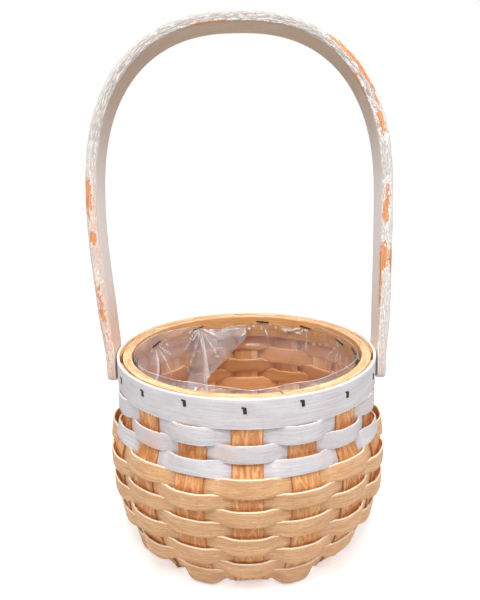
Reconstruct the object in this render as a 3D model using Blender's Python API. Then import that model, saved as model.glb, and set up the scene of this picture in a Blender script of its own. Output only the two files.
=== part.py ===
"""Round splint-woven basket with a bentwood swing handle and a film liner.

Frame: metres, +Z up, origin on the floor under the middle of the whole outline.
The front faces -Y, and azimuths are counted from the front towards +X. Pieces are
drawn about the axis of the body, and the last step moves them all to the frame.
"""
import math

import bmesh
import bpy
from mathutils import Vector

# driving dimensions of the body
RIM_RADIUS = 0.1030
BODY_HEIGHT = 0.157
CLEARANCE = 0.0003
CREASE = math.radians(40)

# outer band and inner hoop of the rim
BAND_THICKNESS = 0.002
BAND_HEIGHT = 0.0218
BAND_EASE = 0.0004
HOOP_THICKNESS = 0.0081
HOOP_HEIGHT = 0.0194
HOOP_ROUNDING = 0.0009
HOOP_DROP = 0.0006
RIM_STEPS = 72

# long splints: each runs up one side, over the floor of the basket and up the other
STAVE_COUNT = 16
STAVE_WIDTH = 0.022
STAVE_THICKNESS = 0.0013
STAVE_DROP = 0.001
PLAIT_PITCH = 0.0275
PLAIT_LANDING = 0.0005

# weavers: closed rings that pass in front of one stave and behind the next
WHITE_ROWS = 3
WEAVER_SPACE = 0.0004
BASE_TURN = 0.0142
WEAVER_THICKNESS = 0.0011
FLOAT_OUT = 0.0043
FLOAT_IN = 0.0025
FLOAT_UPRIGHT = 0.6
STEPS_PER_STAVE = 5
MERIDIAN_STEPS = 600

# bentwood handle, measured from its pivot axis
HANDLE_WIDTH = 0.034
HANDLE_THICKNESS = 0.0098
HANDLE_END_THICKNESS = 0.0072
HANDLE_THICK_RISE = 0.045
HANDLE_ROUNDING = 0.0045
HANDLE_RISE = 0.2615
HANDLE_SHOULDER = 0.131
HANDLE_BOW = 0.0058
HANDLE_SET = 0.0040
HANDLE_TAIL = 0.0122
HANDLE_END_ROUNDING = 0.005
HANDLE_GAP = 0.0005
HANDLE_LEAN = math.radians(9.5)
ARCH_POWER = 2.42
ARM_STEPS = 14
ARCH_STEPS = 30
CORNER_STEPS = 3

# pivots: a rivet and an inner washer on each side
PIVOT_DEPTH = 0.0108
RIVET_RADIUS = 0.002
RIVET_HEAD_RADIUS = 0.0044
RIVET_HEAD = 0.0015
RIVET_HEAD_EASE = 0.0005
RIVET_SUNK = 0.0002
CLINCH_RADIUS = 0.0034
CLINCH = 0.0009
CLINCH_EASE = 0.0005
WASHER_RADIUS = 0.0052
WASHER = 0.0008
ROUND_STEPS = 16

# film liner: a thin bag with its mouth gathered inside the hoop
LINER_WALL = 0.0005
LINER_DROP = 0.009
LINER_MOUTH_GAP = 0.0028
LINER_STEPS = 32
PLEAT = 0.0007
PLEATS = 8

# slack of the film, folded over at the back of the mouth: depths are under the rim
FOLD_FIXED = math.radians(213.5)
FOLD_FREE = math.radians(180)
FOLD_SWAY = math.radians(8.5)
FOLD_TIP = math.radians(1)
FOLD_DROP = 0.0068
FOLD_CORNER = 0.018
FOLD_DEPTH = 0.080
FOLD_OUT = 0.0052
FOLD_STEPS = 10
FOLD_DOWN_STEPS = 16

# side of the bowl: (share of BODY_HEIGHT below the rim, share of the stave radius at the rim)
side_shares = (
    (0.000, 1.000),
    (0.134, 1.000),
    (0.285, 0.998),
    (0.440, 1.080),
    (0.580, 1.071),
    (0.720, 1.043),
    (0.840, 0.977),
    (0.930, 0.907),
    (0.975, 0.843),
    (0.9895, 0.780),
)

# height of each row of weaving, from the rim down, as shares of the mean height
row_shares = (1.035, 1.043, 1.026, 0.958, 0.924, 0.924, 0.967, 1.026, 1.043, 1.043, 1.011)

# where a splint bends from the floor up to the lowest weaver, as shares of that way
turn_shares = (0.9, 0.6, 0.3)

# liner's side: (share of the way from its mouth to its floor, share of its mouth radius)
liner_shares = (
    (0.00, 1.00),
    (0.14, 1.00),
    (0.38, 1.04),
    (0.62, 1.04),
    (0.84, 0.98),
    (0.97, 0.90),
    (1.00, 0.82),
)

# sizes that follow
half_stave = STAVE_THICKNESS / 2
half_weaver = WEAVER_THICKNESS / 2
stave_rim_radius = RIM_RADIUS - BAND_THICKNESS - CLEARANCE - half_stave
hoop_outer_radius = stave_rim_radius - half_stave - CLEARANCE
hoop_inner_radius = hoop_outer_radius - HOOP_THICKNESS
stave_step = 2 * math.pi / STAVE_COUNT
group_size = STAVE_COUNT // 4
plait_turn = stave_step / 2
plait_rise = half_stave + CLEARANCE / 2
plait_middle = half_stave + plait_rise
floor_top = plait_middle + plait_rise + half_stave
pivot_height = BODY_HEIGHT - PIVOT_DEPTH
bore_radius = RIVET_RADIUS + CLEARANCE
washer_out = hoop_inner_radius - CLEARANCE * 2
washer_in = washer_out - WASHER
liner_mouth_radius = hoop_inner_radius - LINER_MOUTH_GAP
liner_depth = BODY_HEIGHT - LINER_DROP - floor_top - CLEARANCE - LINER_WALL
rivet_out = RIM_RADIUS + HANDLE_GAP + HANDLE_END_THICKNESS - RIVET_SUNK


def clear_scene():
    for item in list(bpy.data.objects):
        bpy.data.objects.remove(item, do_unlink=True)


def make_material(name, colour, roughness, metallic=0.0):
    material = bpy.data.materials.new(name)
    material.use_nodes = True
    shader = material.node_tree.nodes["Principled BSDF"]
    shader.inputs["Base Color"].default_value = (*colour, 1.0)
    shader.inputs["Roughness"].default_value = roughness
    shader.inputs["Metallic"].default_value = metallic
    material.diffuse_color = (*colour, 1.0)
    return material


def outward(azimuth):
    """Horizontal unit vector at an azimuth; zero faces the front, -Y."""
    return Vector((math.sin(azimuth), -math.cos(azimuth), 0))


def sideways(azimuth):
    """Horizontal unit vector square to outward(azimuth), towards a larger azimuth."""
    return Vector((math.cos(azimuth), math.sin(azimuth), 0))


def eased_curve(points):
    """Smooth curve through (x, y) points that never swings past them."""
    xs = [x for x, _ in points]
    ys = [y for _, y in points]
    rises = [(ys[i + 1] - ys[i]) / (xs[i + 1] - xs[i]) for i in range(len(xs) - 1)]
    slopes = [rises[0]]
    for before, after in zip(rises, rises[1:]):
        slopes.append(0 if before * after <= 0 else 2 * before * after / (before + after))
    slopes.append(2 * rises[-1] - slopes[-1])

    def value(x):
        place = max(i for i in range(len(rises)) if i == 0 or xs[i] <= x)
        run = xs[place + 1] - xs[place]
        share = (x - xs[place]) / run
        rest = 1 - share
        level = ys[place] * rest * rest * (1 + 2 * share)
        level += ys[place + 1] * share * share * (1 + 2 * rest)
        level += slopes[place] * run * share * rest * rest
        return level - slopes[place + 1] * run * share * share * rest

    return value


class Meridian:
    """The staves' middle surface, followed by arc length down from the rim."""

    def __init__(self):
        radius_at = eased_curve(side_shares)
        last = side_shares[-1][0]
        self.points = []
        self.lengths = [0.0]
        for index in range(MERIDIAN_STEPS + 1):
            share = last * index / MERIDIAN_STEPS
            radius = stave_rim_radius * radius_at(share)
            self.points.append((radius, BODY_HEIGHT * (1 - share)))
        for a, b in zip(self.points, self.points[1:]):
            self.lengths.append(self.lengths[-1] + math.dist(a, b))
        self.total = self.lengths[-1]

    def at(self, length):
        """Radius, height and outward normal (radial, vertical) at an arc length."""
        low = 0
        high = len(self.lengths) - 2
        while low < high:
            middle = (low + high + 1) // 2
            if self.lengths[middle] <= length:
                low = middle
            else:
                high = middle - 1
        (r0, z0), (r1, z1) = self.points[low], self.points[low + 1]
        run = self.lengths[low + 1] - self.lengths[low]
        share = min(1.0, (length - self.lengths[low]) / run)
        normal = ((z0 - z1) / run, (r1 - r0) / run)
        return r0 + (r1 - r0) * share, z0 + (z1 - z0) * share, normal


def place_mesh(name, mesh, material):
    mesh.shade_smooth()
    mesh.set_sharp_from_angle(angle=CREASE)
    if material:
        mesh.materials.append(material)
    part = bpy.data.objects.new(name, mesh)
    bpy.context.scene.collection.objects.link(part)
    return part


def sweep(name, stations, material, closed=False):
    """One solid through equal rings of points; an open sweep gets flat ends."""
    mesh = bpy.data.meshes.new(name)
    work = bmesh.new()
    rings = [[work.verts.new(point) for point in station] for station in stations]
    pairs = list(zip(rings, rings[1:]))
    if closed:
        pairs.append((rings[-1], rings[0]))
    sides = len(rings[0])
    for ring, following in pairs:
        for index in range(sides):
            after = (index + 1) % sides
            work.faces.new((ring[index], ring[after], following[after], following[index]))
    if not closed:
        work.faces.new(reversed(rings[0]))
        work.faces.new(rings[-1])
    bmesh.ops.recalc_face_normals(work, faces=work.faces)
    work.to_mesh(mesh)
    work.free()
    return place_mesh(name, mesh, material)


def turned(name, outline, steps, material):
    """A closed outline of (radius, height) turned about the Z axis."""
    stations = []
    for index in range(steps):
        turn = outward(2 * math.pi * index / steps)
        stations.append([turn * radius + Vector((0, 0, height)) for radius, height in outline])
    return sweep(name, stations, material, closed=True)


def turned_pin(name, outline, material):
    """A solid pin along X; the outline is (radius, place along X), from end to end."""
    stations = []
    for radius, place in outline:
        station = []
        for index in range(ROUND_STEPS):
            turn = 2 * math.pi * index / ROUND_STEPS
            station.append(Vector((place, radius * math.cos(turn), radius * math.sin(turn))))
        stations.append(station)
    return sweep(name, stations, material)


def make_cutter(name, outline):
    """A round cutter on the pivot axis, kept out of the model."""
    cutter = turned_pin(name, outline, None)
    cutter.location = (0, 0, pivot_height)
    cutter.hide_render = True
    cutter.display_type = "WIRE"
    return cutter


def bore(part, cutter):
    cut = part.modifiers.new("bore", "BOOLEAN")
    cut.operation = "DIFFERENCE"
    cut.solver = "EXACT"
    cut.object = cutter


def make_band(material):
    """The white-washed strip round the outside of the rim."""
    low = BODY_HEIGHT - BAND_HEIGHT
    inside = RIM_RADIUS - BAND_THICKNESS
    outline = (
        (inside, low),
        (RIM_RADIUS, low),
        (RIM_RADIUS, BODY_HEIGHT - BAND_EASE),
        (RIM_RADIUS - BAND_EASE, BODY_HEIGHT),
        (inside, BODY_HEIGHT),
    )
    return turned("outer_band", outline, RIM_STEPS, material)


def make_hoop(material):
    """The thick wound hoop inside the rim, with eased edges."""
    top = BODY_HEIGHT - HOOP_DROP
    low = top - HOOP_HEIGHT
    outline = (
        (hoop_inner_radius, low),
        (hoop_outer_radius, low),
        (hoop_outer_radius, top),
        (hoop_inner_radius + HOOP_ROUNDING, top),
        (hoop_inner_radius, top - HOOP_ROUNDING),
    )
    return turned("inner_hoop", outline, RIM_STEPS, material)


def row_lengths(meridian):
    """Arc lengths at which the rows start and end, between the band and the base."""
    bottom = BAND_HEIGHT + CLEARANCE
    woven = meridian.total - BASE_TURN - bottom
    rows = []
    for share in row_shares:
        top = bottom + WEAVER_SPACE
        bottom += woven * share / sum(row_shares)
        rows.append((top, bottom))
    return rows


def float_offset(azimuth, row):
    """Distance of a weaver from the staves' middle surface: out over one, in behind the next."""
    wave = math.cos(math.pi * azimuth / stave_step)
    if row % 2 == 0:
        wave = -wave
    wave = wave * (1.5 - 0.5 * wave * wave)
    return wave * (FLOAT_OUT if wave > 0 else FLOAT_IN)


def make_weaver(row, meridian, material):
    """One closed weaver ring; its flat section follows the side, more upright where it floats."""
    top, bottom = row_lengths(meridian)[row]
    edges = [meridian.at(top), meridian.at(bottom)]
    upright = FLOAT_UPRIGHT * (edges[0][0] - edges[1][0]) / 2
    steps = STAVE_COUNT * STEPS_PER_STAVE
    stations = []
    for index in range(steps):
        azimuth = 2 * math.pi * index / steps
        offset = float_offset(azimuth, row)
        station = []
        for edge, face in ((0, -1), (1, -1), (1, 1), (0, 1)):
            radius, height, (radial, vertical) = edges[edge]
            shift = offset + face * half_weaver
            flare = upright * max(0, offset) / FLOAT_OUT * (1 if edge else -1)
            place = outward(azimuth) * (radius + radial * shift + flare)
            station.append(place + Vector((0, 0, height + vertical * shift)))
        stations.append(station)
    return sweep("weaver_{:02d}".format(row + 1), stations, material, closed=True)


def strip_station(centre, across, facing, cup):
    """Six points of a strip's section; cup draws its edges back along the facing."""
    half_width = STAVE_WIDTH / 2
    station = []
    for side, face in ((-1, -1), (0, -1), (1, -1), (1, 1), (0, 1), (-1, 1)):
        place = centre + across * side * half_width - facing * cup * abs(side)
        station.append(place + facing * face * half_stave)
    return station


def splint_end(group, index, end):
    """Azimuth of the splint's direction on the floor, and of its stave, at one end."""
    lateral = index - (group_size - 1) / 2
    axis = plait_turn + group * math.pi / 2 + (0 if end > 0 else math.pi)
    return axis, axis + end * lateral * stave_step


def splint_half(group, index, end, meridian):
    """Stations of half a long splint, from the middle of the floor up to the rim."""
    lateral = index - (group_size - 1) / 2
    axis, azimuth = splint_end(group, index, end)
    offset = sideways(axis) * end * lateral * PLAIT_PITCH
    reach = STAVE_WIDTH / 2 + PLAIT_LANDING
    stations = []
    for crossing in range(group_size // 2):
        place = (crossing + 0.5) * PLAIT_PITCH
        along = end * (crossing + 0.5)
        partner = along + (group_size - 1) / 2 if group else (group_size - 1) / 2 - along
        over = (round(partner) + index + group) % 2 == 0
        level = plait_middle + (plait_rise if over else -plait_rise)
        for edge in (place - reach, place + reach):
            centre = outward(axis) * edge + offset + Vector((0, 0, level))
            stations.append(strip_station(centre, sideways(axis), Vector((0, 0, -1)), 0))
    starts = [STAVE_DROP] + [top for top, _ in row_lengths(meridian)]
    starts.append(row_lengths(meridian)[-1][1])
    turn_in = meridian.total - starts[-1]
    climbs = [(starts[-1] + turn_in * share, 1 - share) for share in turn_shares]
    climbs += [(length, 1) for length in reversed(starts)]
    for length, settled in climbs:
        radius, height, (radial, vertical) = meridian.at(length)
        bearing = axis + (azimuth - axis) * settled
        facing = outward(bearing) * radial + Vector((0, 0, vertical))
        centre = outward(azimuth) * radius + Vector((0, 0, height))
        half_angle = math.asin(STAVE_WIDTH / 2 / radius)
        cup = radius * (1 - math.cos(half_angle)) * radial * settled
        stations.append(strip_station(centre, sideways(bearing), facing.normalized(), cup))
    return stations


def make_splint(number, group, index, meridian, material):
    """One long splint: two staves and the strip of the plaited floor between them."""
    back = splint_half(group, index, -1, meridian)
    front = splint_half(group, index, 1, meridian)
    mirrored = []
    for station in reversed(back):
        inner = station[2], station[1], station[0]
        outer = station[5], station[4], station[3]
        mirrored.append([*inner, *outer])
    return sweep("splint_{}".format(number), mirrored + front, material)


def arm_out(side, rise):
    """Inner face of an arm, from the basket's middle plane, at a rise over the pivot."""
    share = (rise + HANDLE_TAIL) / (HANDLE_SHOULDER + HANDLE_TAIL)
    ease = (1 - math.cos(math.pi * share)) / 2
    seat = RIM_RADIUS + HANDLE_GAP
    return side * (seat + HANDLE_BOW * ease) - HANDLE_SET * ease


def handle_line():
    """Inner face of the handle, end to end, as (place along X, rise over the pivot)."""
    line = []
    tail = []
    for step in range(CORNER_STEPS + 1):
        turn = math.pi / 2 * step / CORNER_STEPS
        tail.append(HANDLE_END_ROUNDING * (1 - math.cos(turn)) - HANDLE_TAIL)
    straight = HANDLE_SHOULDER - tail[-1]
    rises = tail + [tail[-1] + straight * step / ARM_STEPS for step in range(1, ARM_STEPS)]
    for rise in rises:
        line.append((arm_out(-1, rise), rise))
    half = RIM_RADIUS + HANDLE_GAP + HANDLE_BOW
    height = HANDLE_RISE - HANDLE_SHOULDER
    for step in range(ARCH_STEPS + 1):
        turn = math.pi * step / ARCH_STEPS
        across = -math.copysign(abs(math.cos(turn)) ** (2 / ARCH_POWER), math.cos(turn))
        up = math.sin(turn) ** (2 / ARCH_POWER)
        line.append((half * across - HANDLE_SET, HANDLE_SHOULDER + height * up))
    for rise in reversed(rises):
        line.append((arm_out(1, rise), rise))
    return line


def half_width_at(rise):
    """Half the handle's width, drawn in at the rounded corners of its ends."""
    from_end = rise + HANDLE_TAIL
    if from_end >= HANDLE_END_ROUNDING:
        return HANDLE_WIDTH / 2
    gone = HANDLE_END_ROUNDING - from_end
    left = math.sqrt(max(0, HANDLE_END_ROUNDING ** 2 - gone ** 2))
    return HANDLE_WIDTH / 2 - HANDLE_END_ROUNDING + left


def thickness_at(rise):
    """The handle's thickness: it is thinned down towards its ends."""
    share = min(1, max(0, rise / HANDLE_THICK_RISE))
    ease = (1 - math.cos(math.pi * share)) / 2
    return HANDLE_END_THICKNESS + (HANDLE_THICKNESS - HANDLE_END_THICKNESS) * ease


def handle_section(half_width, thickness):
    """Flat inside, straight sides and a rounded back: (across, out) points."""
    points = [(-half_width, 0)]
    for step in range(CORNER_STEPS + 1):
        turn = math.pi / 2 * step / CORNER_STEPS
        points.append((-half_width + HANDLE_ROUNDING * (1 - math.cos(turn)),
                       thickness - HANDLE_ROUNDING * (1 - math.sin(turn))))
    return points + [(-across, out) for across, out in reversed(points)]


def make_handle(material):
    """The bentwood bow, drawn about its pivot axis and leaning back as it stands."""
    line = handle_line()
    stations = []
    for index, (x, rise) in enumerate(line):
        before = line[max(0, index - 1)]
        after = line[min(len(line) - 1, index + 1)]
        along = Vector((after[0] - before[0], 0, after[1] - before[1])).normalized()
        out = Vector((-along.z, 0, along.x))
        station = []
        for across, depth in handle_section(half_width_at(rise), thickness_at(rise)):
            station.append(Vector((x, across, rise)) + out * depth)
        stations.append(station)
    handle = sweep("handle", stations, material)
    handle.location = (0, 0, pivot_height)
    handle.rotation_euler = (-HANDLE_LEAN, 0, 0)
    return handle


def make_rivet(name, side, material):
    """Flat-headed pin: its head is let into the handle, its end is clinched inside."""
    clinch_out = washer_in - CLEARANCE
    clinch_in = clinch_out - CLINCH
    head_in = rivet_out - RIVET_HEAD
    outline = (
        (CLINCH_RADIUS - CLINCH_EASE, clinch_in),
        (CLINCH_RADIUS, clinch_in + CLINCH_EASE),
        (CLINCH_RADIUS, clinch_out),
        (RIVET_RADIUS, clinch_out),
        (RIVET_RADIUS, head_in),
        (RIVET_HEAD_RADIUS, head_in),
        (RIVET_HEAD_RADIUS, rivet_out - RIVET_HEAD_EASE),
        (RIVET_HEAD_RADIUS - RIVET_HEAD_EASE, rivet_out),
    )
    placed = [(radius, side * place) for radius, place in outline]
    rivet = turned_pin(name, placed, material)
    rivet.location = (0, 0, pivot_height)
    return rivet


def make_washer(name, side, material):
    """Flat ring between the clinched end and the hoop."""
    outline = (
        (bore_radius, washer_in),
        (WASHER_RADIUS, washer_in),
        (WASHER_RADIUS, washer_out),
        (bore_radius, washer_out),
    )
    stations = []
    for index in range(ROUND_STEPS):
        turn = 2 * math.pi * index / ROUND_STEPS
        spoke = Vector((0, math.cos(turn), math.sin(turn)))
        stations.append([spoke * radius + Vector((side * place, 0, 0)) for radius, place in outline])
    washer = sweep(name, stations, material, closed=True)
    washer.location = (0, 0, pivot_height)
    return washer


def pivot_cutters(side, label):
    """The bore through every layer, and the seat of the rivet's head in the handle."""
    past = rivet_out + HANDLE_THICKNESS
    shank = ((bore_radius, washer_in), (bore_radius, past))
    seat_in = rivet_out - RIVET_HEAD - CLEARANCE
    seat_radius = RIVET_HEAD_RADIUS + CLEARANCE
    seat = ((seat_radius, seat_in), (seat_radius, past))
    through = make_cutter("bore_cutter_" + label, [(r, side * x) for r, x in shank])
    sunk = make_cutter("seat_cutter_" + label, [(r, side * x) for r, x in seat])
    return through, sunk


def liner_rings(work, wall):
    """Rings of one skin of the film, from the mouth down, set in by the wall."""
    top = BODY_HEIGHT - LINER_DROP
    floor = floor_top + CLEARANCE + wall
    rings = []
    for share, wide in liner_shares:
        ring = []
        for index in range(LINER_STEPS):
            azimuth = 2 * math.pi * index / LINER_STEPS
            pleat = PLEAT * math.cos(PLEATS * azimuth) * math.sin(math.pi * share)
            radius = liner_mouth_radius * wide + pleat - wall
            height = top + (floor - top) * share
            ring.append(work.verts.new(outward(azimuth) * radius + Vector((0, 0, height))))
        rings.append(ring)
    return rings


def make_liner(material):
    """Thin film bag, gathered at the mouth, with soft pleats down its side."""
    work = bmesh.new()
    outer = liner_rings(work, 0)
    inner = liner_rings(work, LINER_WALL)
    seams = list(zip(outer, outer[1:])) + list(zip(inner, inner[1:])) + [(outer[0], inner[0])]
    for ring, following in seams:
        for index in range(LINER_STEPS):
            after = (index + 1) % LINER_STEPS
            work.faces.new((ring[index], ring[after], following[after], following[index]))
    work.faces.new(outer[-1])
    work.faces.new(inner[-1])
    bmesh.ops.recalc_face_normals(work, faces=work.faces)
    mesh = bpy.data.meshes.new("liner_film")
    work.to_mesh(mesh)
    work.free()
    return place_mesh("liner_film", mesh, material)


def liner_radius(share):
    """Radius of the liner's outside at a share of the way down, before its pleats."""
    spans = zip(liner_shares, liner_shares[1:])
    (start, near), (end, far) = next(span for span in spans if share <= span[1][0])
    return liner_mouth_radius * (near + (far - near) * (share - start) / (end - start))


def fold_depths():
    """Depths of the fold's rows, with one at each turn of the liner's side."""
    run = FOLD_DEPTH - FOLD_DROP
    depths = {FOLD_DROP + run * step / FOLD_DOWN_STEPS for step in range(FOLD_DOWN_STEPS + 1)}
    turns = {LINER_DROP + share * liner_depth for share, _ in liner_shares}
    return sorted(depths | {FOLD_CORNER} | {turn for turn in turns if turn < FOLD_DEPTH})


def make_fold(material):
    """Folded slack of the film: one edge lies on the liner, the other stands off it."""
    run = FOLD_DEPTH - FOLD_DROP
    facet = math.cos(math.pi / LINER_STEPS)
    stations = []
    for depth in fold_depths():
        fixed = FOLD_FIXED + FOLD_SWAY * (depth - FOLD_DROP) / run
        fall = max(0, depth - FOLD_CORNER) / (FOLD_DEPTH - FOLD_CORNER)
        free = FOLD_FREE + (FOLD_FIXED + FOLD_SWAY - FOLD_TIP - FOLD_FREE) * fall
        width = (fixed - free) / (FOLD_FIXED - FOLD_FREE)
        share = max(0, (depth - LINER_DROP) / liner_depth)
        level = Vector((0, 0, BODY_HEIGHT - depth))
        far_side = []
        near_side = []
        for step in range(FOLD_STEPS + 1):
            azimuth = fixed + (free - fixed) * step / FOLD_STEPS
            pleat = PLEAT * math.cos(PLEATS * azimuth) * math.sin(math.pi * share)
            lift = (1 - math.cos(math.pi * width * step / FOLD_STEPS)) / 2
            lining = (liner_radius(share) + pleat - LINER_WALL) * facet
            radius = lining - CLEARANCE - FOLD_OUT * lift
            far_side.append(outward(azimuth) * radius + level)
            near_side.append(outward(azimuth) * (radius - LINER_WALL) + level)
        stations.append(far_side + near_side[::-1])
    return sweep("liner_fold", stations, material)


def build():
    clear_scene()
    white = make_material("white_wash", (0.68, 0.66, 0.68), 0.75)
    natural = make_material("weaver_wood", (0.62, 0.38, 0.20), 0.6)
    stave_wood = make_material("stave_wood", (0.74, 0.41, 0.16), 0.6)
    hoop_wood = make_material("hoop_wood", (0.90, 0.70, 0.40), 0.6)
    handle_wood = make_material("handle_wood", (0.76, 0.68, 0.62), 0.65)
    metal = make_material("rivet_metal", (0.30, 0.30, 0.32), 0.4, 1.0)
    film = make_material("film", (0.80, 0.72, 0.70), 0.25)

    meridian = Meridian()
    band = make_band(white)
    hoop = make_hoop(hoop_wood)
    for row in range(len(row_shares)):
        make_weaver(row, meridian, white if row < WHITE_ROWS else natural)
    splints = []
    for group in range(2):
        for index in range(group_size):
            splint = make_splint(len(splints) + 1, group, index, meridian, stave_wood)
            ends = [splint_end(group, index, end)[1] for end in (-1, 1)]
            splints.append((splint, ends))
    handle = make_handle(handle_wood)
    make_liner(film)
    make_fold(film)
    for label, side in (("right", 1), ("left", -1)):
        make_rivet("rivet_" + label, side, metal)
        make_washer("washer_" + label, side, metal)
        through, sunk = pivot_cutters(side, label)
        for part in (band, hoop, handle):
            bore(part, through)
        bore(handle, sunk)
        for splint, ends in splints:
            nearest = max(side * outward(azimuth).x for azimuth in ends)
            if nearest > math.cos(stave_step / 2):
                bore(splint, through)
    for piece in bpy.data.objects:
        piece.location.x += HANDLE_SET


build()
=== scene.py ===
import bisect
import math

import bmesh
import bpy
from mathutils import Matrix, Vector, noise


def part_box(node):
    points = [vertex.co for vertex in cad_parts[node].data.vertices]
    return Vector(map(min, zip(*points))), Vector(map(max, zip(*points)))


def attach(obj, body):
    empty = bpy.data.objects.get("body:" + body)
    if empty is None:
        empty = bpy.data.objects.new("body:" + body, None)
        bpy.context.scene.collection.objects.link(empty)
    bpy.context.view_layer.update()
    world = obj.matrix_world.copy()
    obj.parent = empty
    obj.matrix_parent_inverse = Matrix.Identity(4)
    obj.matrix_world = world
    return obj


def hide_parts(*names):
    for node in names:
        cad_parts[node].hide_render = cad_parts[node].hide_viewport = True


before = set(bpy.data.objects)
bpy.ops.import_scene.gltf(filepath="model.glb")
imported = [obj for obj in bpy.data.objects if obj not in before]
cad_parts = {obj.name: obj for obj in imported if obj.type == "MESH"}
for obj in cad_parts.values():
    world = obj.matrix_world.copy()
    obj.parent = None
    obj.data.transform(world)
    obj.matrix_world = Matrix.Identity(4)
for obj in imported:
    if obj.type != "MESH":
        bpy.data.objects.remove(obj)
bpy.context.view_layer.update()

scene = bpy.context.scene
print("stage: frame loaded,", len(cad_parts), "nodes")

bandLow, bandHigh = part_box("outer_band")
hoopLow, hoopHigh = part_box("inner_hoop")

# sizes of the body that every piece follows, with its lengths in metres
body = {
    "axisX": (bandLow.x + bandHigh.x) / 2,
    "rimRadius": (bandHigh.x - bandLow.x) / 2,
    "height": bandHigh.z,
    "bandHeight": bandHigh.z - bandLow.z,
    "bandThickness": 0.002,
    "hoopThickness": 0.0081,
    "gap": 0.0003,
    "staveCount": 16,
    "staveWidth": 0.022,
    "staveThickness": 0.0013,
    "staveDrop": 0.001,
    "plaitPitch": 0.0275,
    "plaitLanding": 0.0005,
    "baseTurn": 0.0142,
    "rowSpace": 0.0004,
    "weaverThickness": 0.0011,
    "floatOut": 0.0043,
    "floatUpright": 0.6,
}
hoopInner = (hoopHigh.x - hoopLow.x) / 2 - body["hoopThickness"]
# heights of the weavers from the top, as shares of their mean
rowShares = (1.035, 1.043, 1.026, 0.958, 0.924, 0.924, 0.967, 1.026, 1.043, 1.043, 1.011)
# the side: (share of the height down from the rim, share of the radius at the rim)
sideShares = (
    (0.000, 1.000), (0.134, 1.000), (0.285, 0.998), (0.440, 1.080), (0.580, 1.071),
    (0.720, 1.043), (0.840, 0.977), (0.930, 0.907), (0.975, 0.843), (0.9895, 0.780),
)
turnShares = (0.9, 0.6, 0.3)  # stations of a splint between the base and the last weaver
staveStep = 2 * math.pi / body["staveCount"]
halfStave = body["staveThickness"] / 2
staveRimRadius = body["rimRadius"] - body["bandThickness"] - body["gap"] - halfStave
groupSize = body["staveCount"] // 4
plaitRise = halfStave + body["gap"] / 2
plaitMiddle = halfStave + plaitRise


def outward(azimuth):  # level unit vector, zero faces the front
    return Vector((math.sin(azimuth), -math.cos(azimuth), 0))


def sideways(azimuth):
    return Vector((math.cos(azimuth), math.sin(azimuth), 0))


def smooth(share):
    share = min(1.0, max(0.0, share))
    return share * share * (3 - 2 * share)


def bump(value, centre, reach):  # 1 at the centre, 0 from reach on
    return smooth(1 - abs(value - centre) / reach)


def easedCurve(points):  # smooth curve through the points that never swings past them
    xs = [x for x, _ in points]
    ys = [y for _, y in points]
    rises = [(ys[i + 1] - ys[i]) / (xs[i + 1] - xs[i]) for i in range(len(xs) - 1)]
    slopes = [rises[0]]
    for before, after in zip(rises, rises[1:]):
        slopes.append(0 if before * after <= 0 else 2 * before * after / (before + after))
    slopes.append(2 * rises[-1] - slopes[-1])

    def value(x):
        place = min(max(bisect.bisect_right(xs, x) - 1, 0), len(rises) - 1)
        run = xs[place + 1] - xs[place]
        share = (x - xs[place]) / run
        rest = 1 - share
        level = ys[place] * rest * rest * (1 + 2 * share)
        level += ys[place + 1] * share * share * (1 + 2 * rest)
        level += slopes[place] * run * share * rest * rest
        return level - slopes[place + 1] * run * share * share * rest

    return value


class SideLine:  # the staves' middle surface, by arc length down from the rim
    def __init__(self, steps=600):
        radiusAt = easedCurve(sideShares)
        last = sideShares[-1][0]
        self.points = []
        self.lengths = [0.0]
        for index in range(steps + 1):
            share = last * index / steps
            self.points.append((staveRimRadius * radiusAt(share), body["height"] * (1 - share)))
        for a, b in zip(self.points, self.points[1:]):
            self.lengths.append(self.lengths[-1] + math.dist(a, b))
        self.total = self.lengths[-1]

    def at(self, length):  # radius, height, and the direction outwards (level, upwards)
        low = min(max(bisect.bisect_right(self.lengths, length) - 1, 0), len(self.points) - 2)
        (r0, z0), (r1, z1) = self.points[low], self.points[low + 1]
        run = self.lengths[low + 1] - self.lengths[low]
        share = min(1.0, (length - self.lengths[low]) / run)
        return r0 + (r1 - r0) * share, z0 + (z1 - z0) * share, ((z0 - z1) / run, (r1 - r0) / run)


side = SideLine()
rowEdges = []
rowBottom = body["bandHeight"] + body["gap"]
woven = side.total - body["baseTurn"] - rowBottom
for share in rowShares:
    rowTop = rowBottom + body["rowSpace"]
    rowBottom += woven * share / sum(rowShares)
    rowEdges.append((rowTop, rowBottom))


# modelling tools

def deselectAll():
    bpy.ops.object.select_all(action="DESELECT")


def workOn(piece):
    deselectAll()
    piece.select_set(True)
    bpy.context.view_layer.objects.active = piece


def flatStrip(name, stepsAlong, stepsAcross):
    deselectAll()
    bpy.ops.mesh.primitive_grid_add(x_subdivisions=stepsAlong, y_subdivisions=stepsAcross, size=1)
    strip = bpy.context.object
    strip.name = name
    strip.data.name = name
    return strip


def bendStrip(strip, placeAt, length, width, start=0.0):
    # placeAt takes the share along, 0 to 1, and the share across, -1 to 1
    mesh = strip.data
    for loop, corner in zip(mesh.loops, mesh.uv_layers.active.data):
        flat = mesh.vertices[loop.vertex_index].co
        corner.uv = (start + (flat.x + 0.5) * length, flat.y * width)
    for vertex in mesh.vertices:
        vertex.co = placeAt(vertex.co.x + 0.5, vertex.co.y * 2)
    mesh.update()


def applyAll(piece):
    workOn(piece)
    for modifier in list(piece.modifiers):
        bpy.ops.object.modifier_apply(modifier=modifier.name)


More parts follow.
